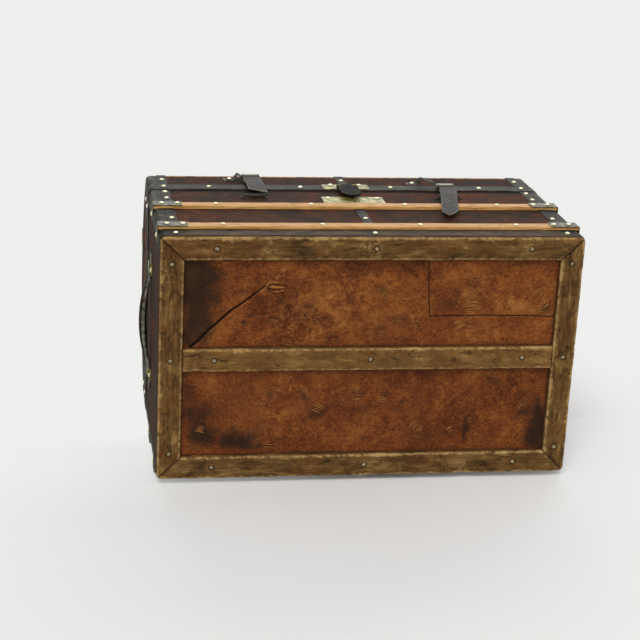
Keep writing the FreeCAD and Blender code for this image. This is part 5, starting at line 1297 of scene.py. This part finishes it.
# The photographed floor, from low to high: height, left and right edge of its opening, and how much of
# it shows left and right of the trunk. The trunk hides the opening from the camera. The floor fades out
# where no shadow falls on it, so that an open lid isn't hidden by it in upright views.
FLOOR_ROWS = [(-FAR, 0.03, 0.03, 1, 1), (-0.30, 0.03, 0.03, 1, 1), (0.02, 0.03, 0.03, 1, 1),
              (0.16, 0.03, 0.03, 0.5, 1), (0.30, 0.03, 0.03, 0, 1), (0.30, -0.395, 0.46, 0, 1),
              (0.46, -0.395, 0.52, 0, 0.8), (0.75, -0.38, 0.61, 0, 0.35), (1.20, -0.36, 0.75, 0, 0)]
# Where it is whole again left and right, and a line between the opening and there.
FLOOR_LEFT, FLOOR_RIGHT, FLOOR_BETWEEN = -1.2, 1.4, 0.9
FLOOR_COLUMNS, OPENING = 7, 2


def photo_floor():
    """The floor under the trunk's back, in rows of seven corners."""
    back = cad_box[1].y + 0.5 * MM
    corners, shown = [], []
    for z, left, right, shown_left, shown_right in FLOOR_ROWS:
        whole = 1 if z < -0.1 else 0
        corners += [(x, back, z) for x in (-FAR, FLOOR_LEFT, left, right, FLOOR_BETWEEN, FLOOR_RIGHT, FAR)]
        shown += [whole, whole, shown_left, shown_right, 0.6 * shown_right + 0.4 * whole, whole, whole]
    faces = []
    for face in sheet_faces(len(FLOOR_ROWS), FLOOR_COLUMNS):
        row, column = divmod(face[0], FLOOR_COLUMNS)
        if column != OPENING and FLOOR_ROWS[row][0] != FLOOR_ROWS[row + 1][0]:
            faces.append(face)
    floor("photo_floor", corners, faces, 0.80, shown)


def lamp(name, towards, strength, angle):
    """A lamp like the sun, as wide as an angle in degrees."""
    light = bpy.data.lights.new(name, "SUN")
    light.energy = strength
    light.angle = math.radians(angle)
    made = bpy.data.objects.new(name, light)
    made.rotation_mode = "QUATERNION"
    made.rotation_quaternion = Vector(towards).to_track_quat("-Z", "Y")
    bpy.context.scene.collection.objects.link(made)


def background():
    """Grey for the light that it gives, and nearly white where it is looked at."""
    world = bpy.data.worlds.new("studio")
    bpy.context.scene.world = world
    world.use_nodes = True
    lit = world.node_tree.nodes["Background"]
    lit.inputs["Color"].default_value = (0.5, 0.5, 0.5, 1)
    shown = new_node(world.node_tree, "ShaderNodeBackground", {"Color": (0.86, 0.86, 0.85, 1)})
    show(world.node_tree, looked_at(world.node_tree), lit, shown)
    bpy.context.scene.view_settings.view_transform = "Standard"


def stage():
    photo_floor()
    low = -0.3 * MM
    floor("upright_floor", [(-FAR, -FAR, low), (FAR, -FAR, low), (FAR, FAR, low), (-FAR, FAR, low)],
          [(0, 1, 2, 3)], 0.85, [1, 1, 1, 1])
    lamp("key", (0.20, 0.80, 0.55), 1.5, 25)
    lamp("from_below", (0.05, 0.25, 0.95), 0.8, 60)
    lamp("from_above", (-0.25, 0.30, -0.92), 1.6, 60)
    background()


# The photograph's view: what is right, up and ahead in it, and where it is taken from.
VIEW = ((0.98682508, -0.04722271, -0.15474583), (0.00633622, -0.94444254, 0.3286155),
        (0.16166666, 0.32526652, 0.93170037))
VIEWPOINT = (-0.6093, -1.1016, -2.9237)


def camera():
    """Looks from below the standing trunk, which is above it as it lies on its back."""
    right, up, ahead = (Vector(v) for v in VIEW)
    data = bpy.data.cameras.new("camera")
    data.lens, data.sensor_width, data.clip_end = 93.54, 36.0, 200
    made = bpy.data.objects.new("camera", data)
    made.matrix_world = Matrix.Translation(VIEWPOINT) @ Matrix((right, up, -ahead)).transposed().to_4x4()
    bpy.context.scene.collection.objects.link(made)
    bpy.context.scene.camera = made


dress_nodes()
for body in ("body", "lid"):
    replace_heads(f"{body}_nails", f"{body}_nails_domed", brass, body, "brass_nails", brass_nail)
replace_heads("bottom_screws", "bottom_screws_slotted", screw_grey, "body", "screw_steel", slotted_screw)
batten("batten_front", 0, -1, 1)
batten("batten_back", 0, 1, 2)
batten("batten_left", 1, -1, 3)
batten("batten_right", 1, 1, 4)
centre_batten()
bottom_leather()
leather_scuffs()
leather_flap()
old_nails()
for side in SIDES:
    strap_fold(side)
    strap_keeper(side)
    strap_tongue(side)
handles()
stage()
camera()
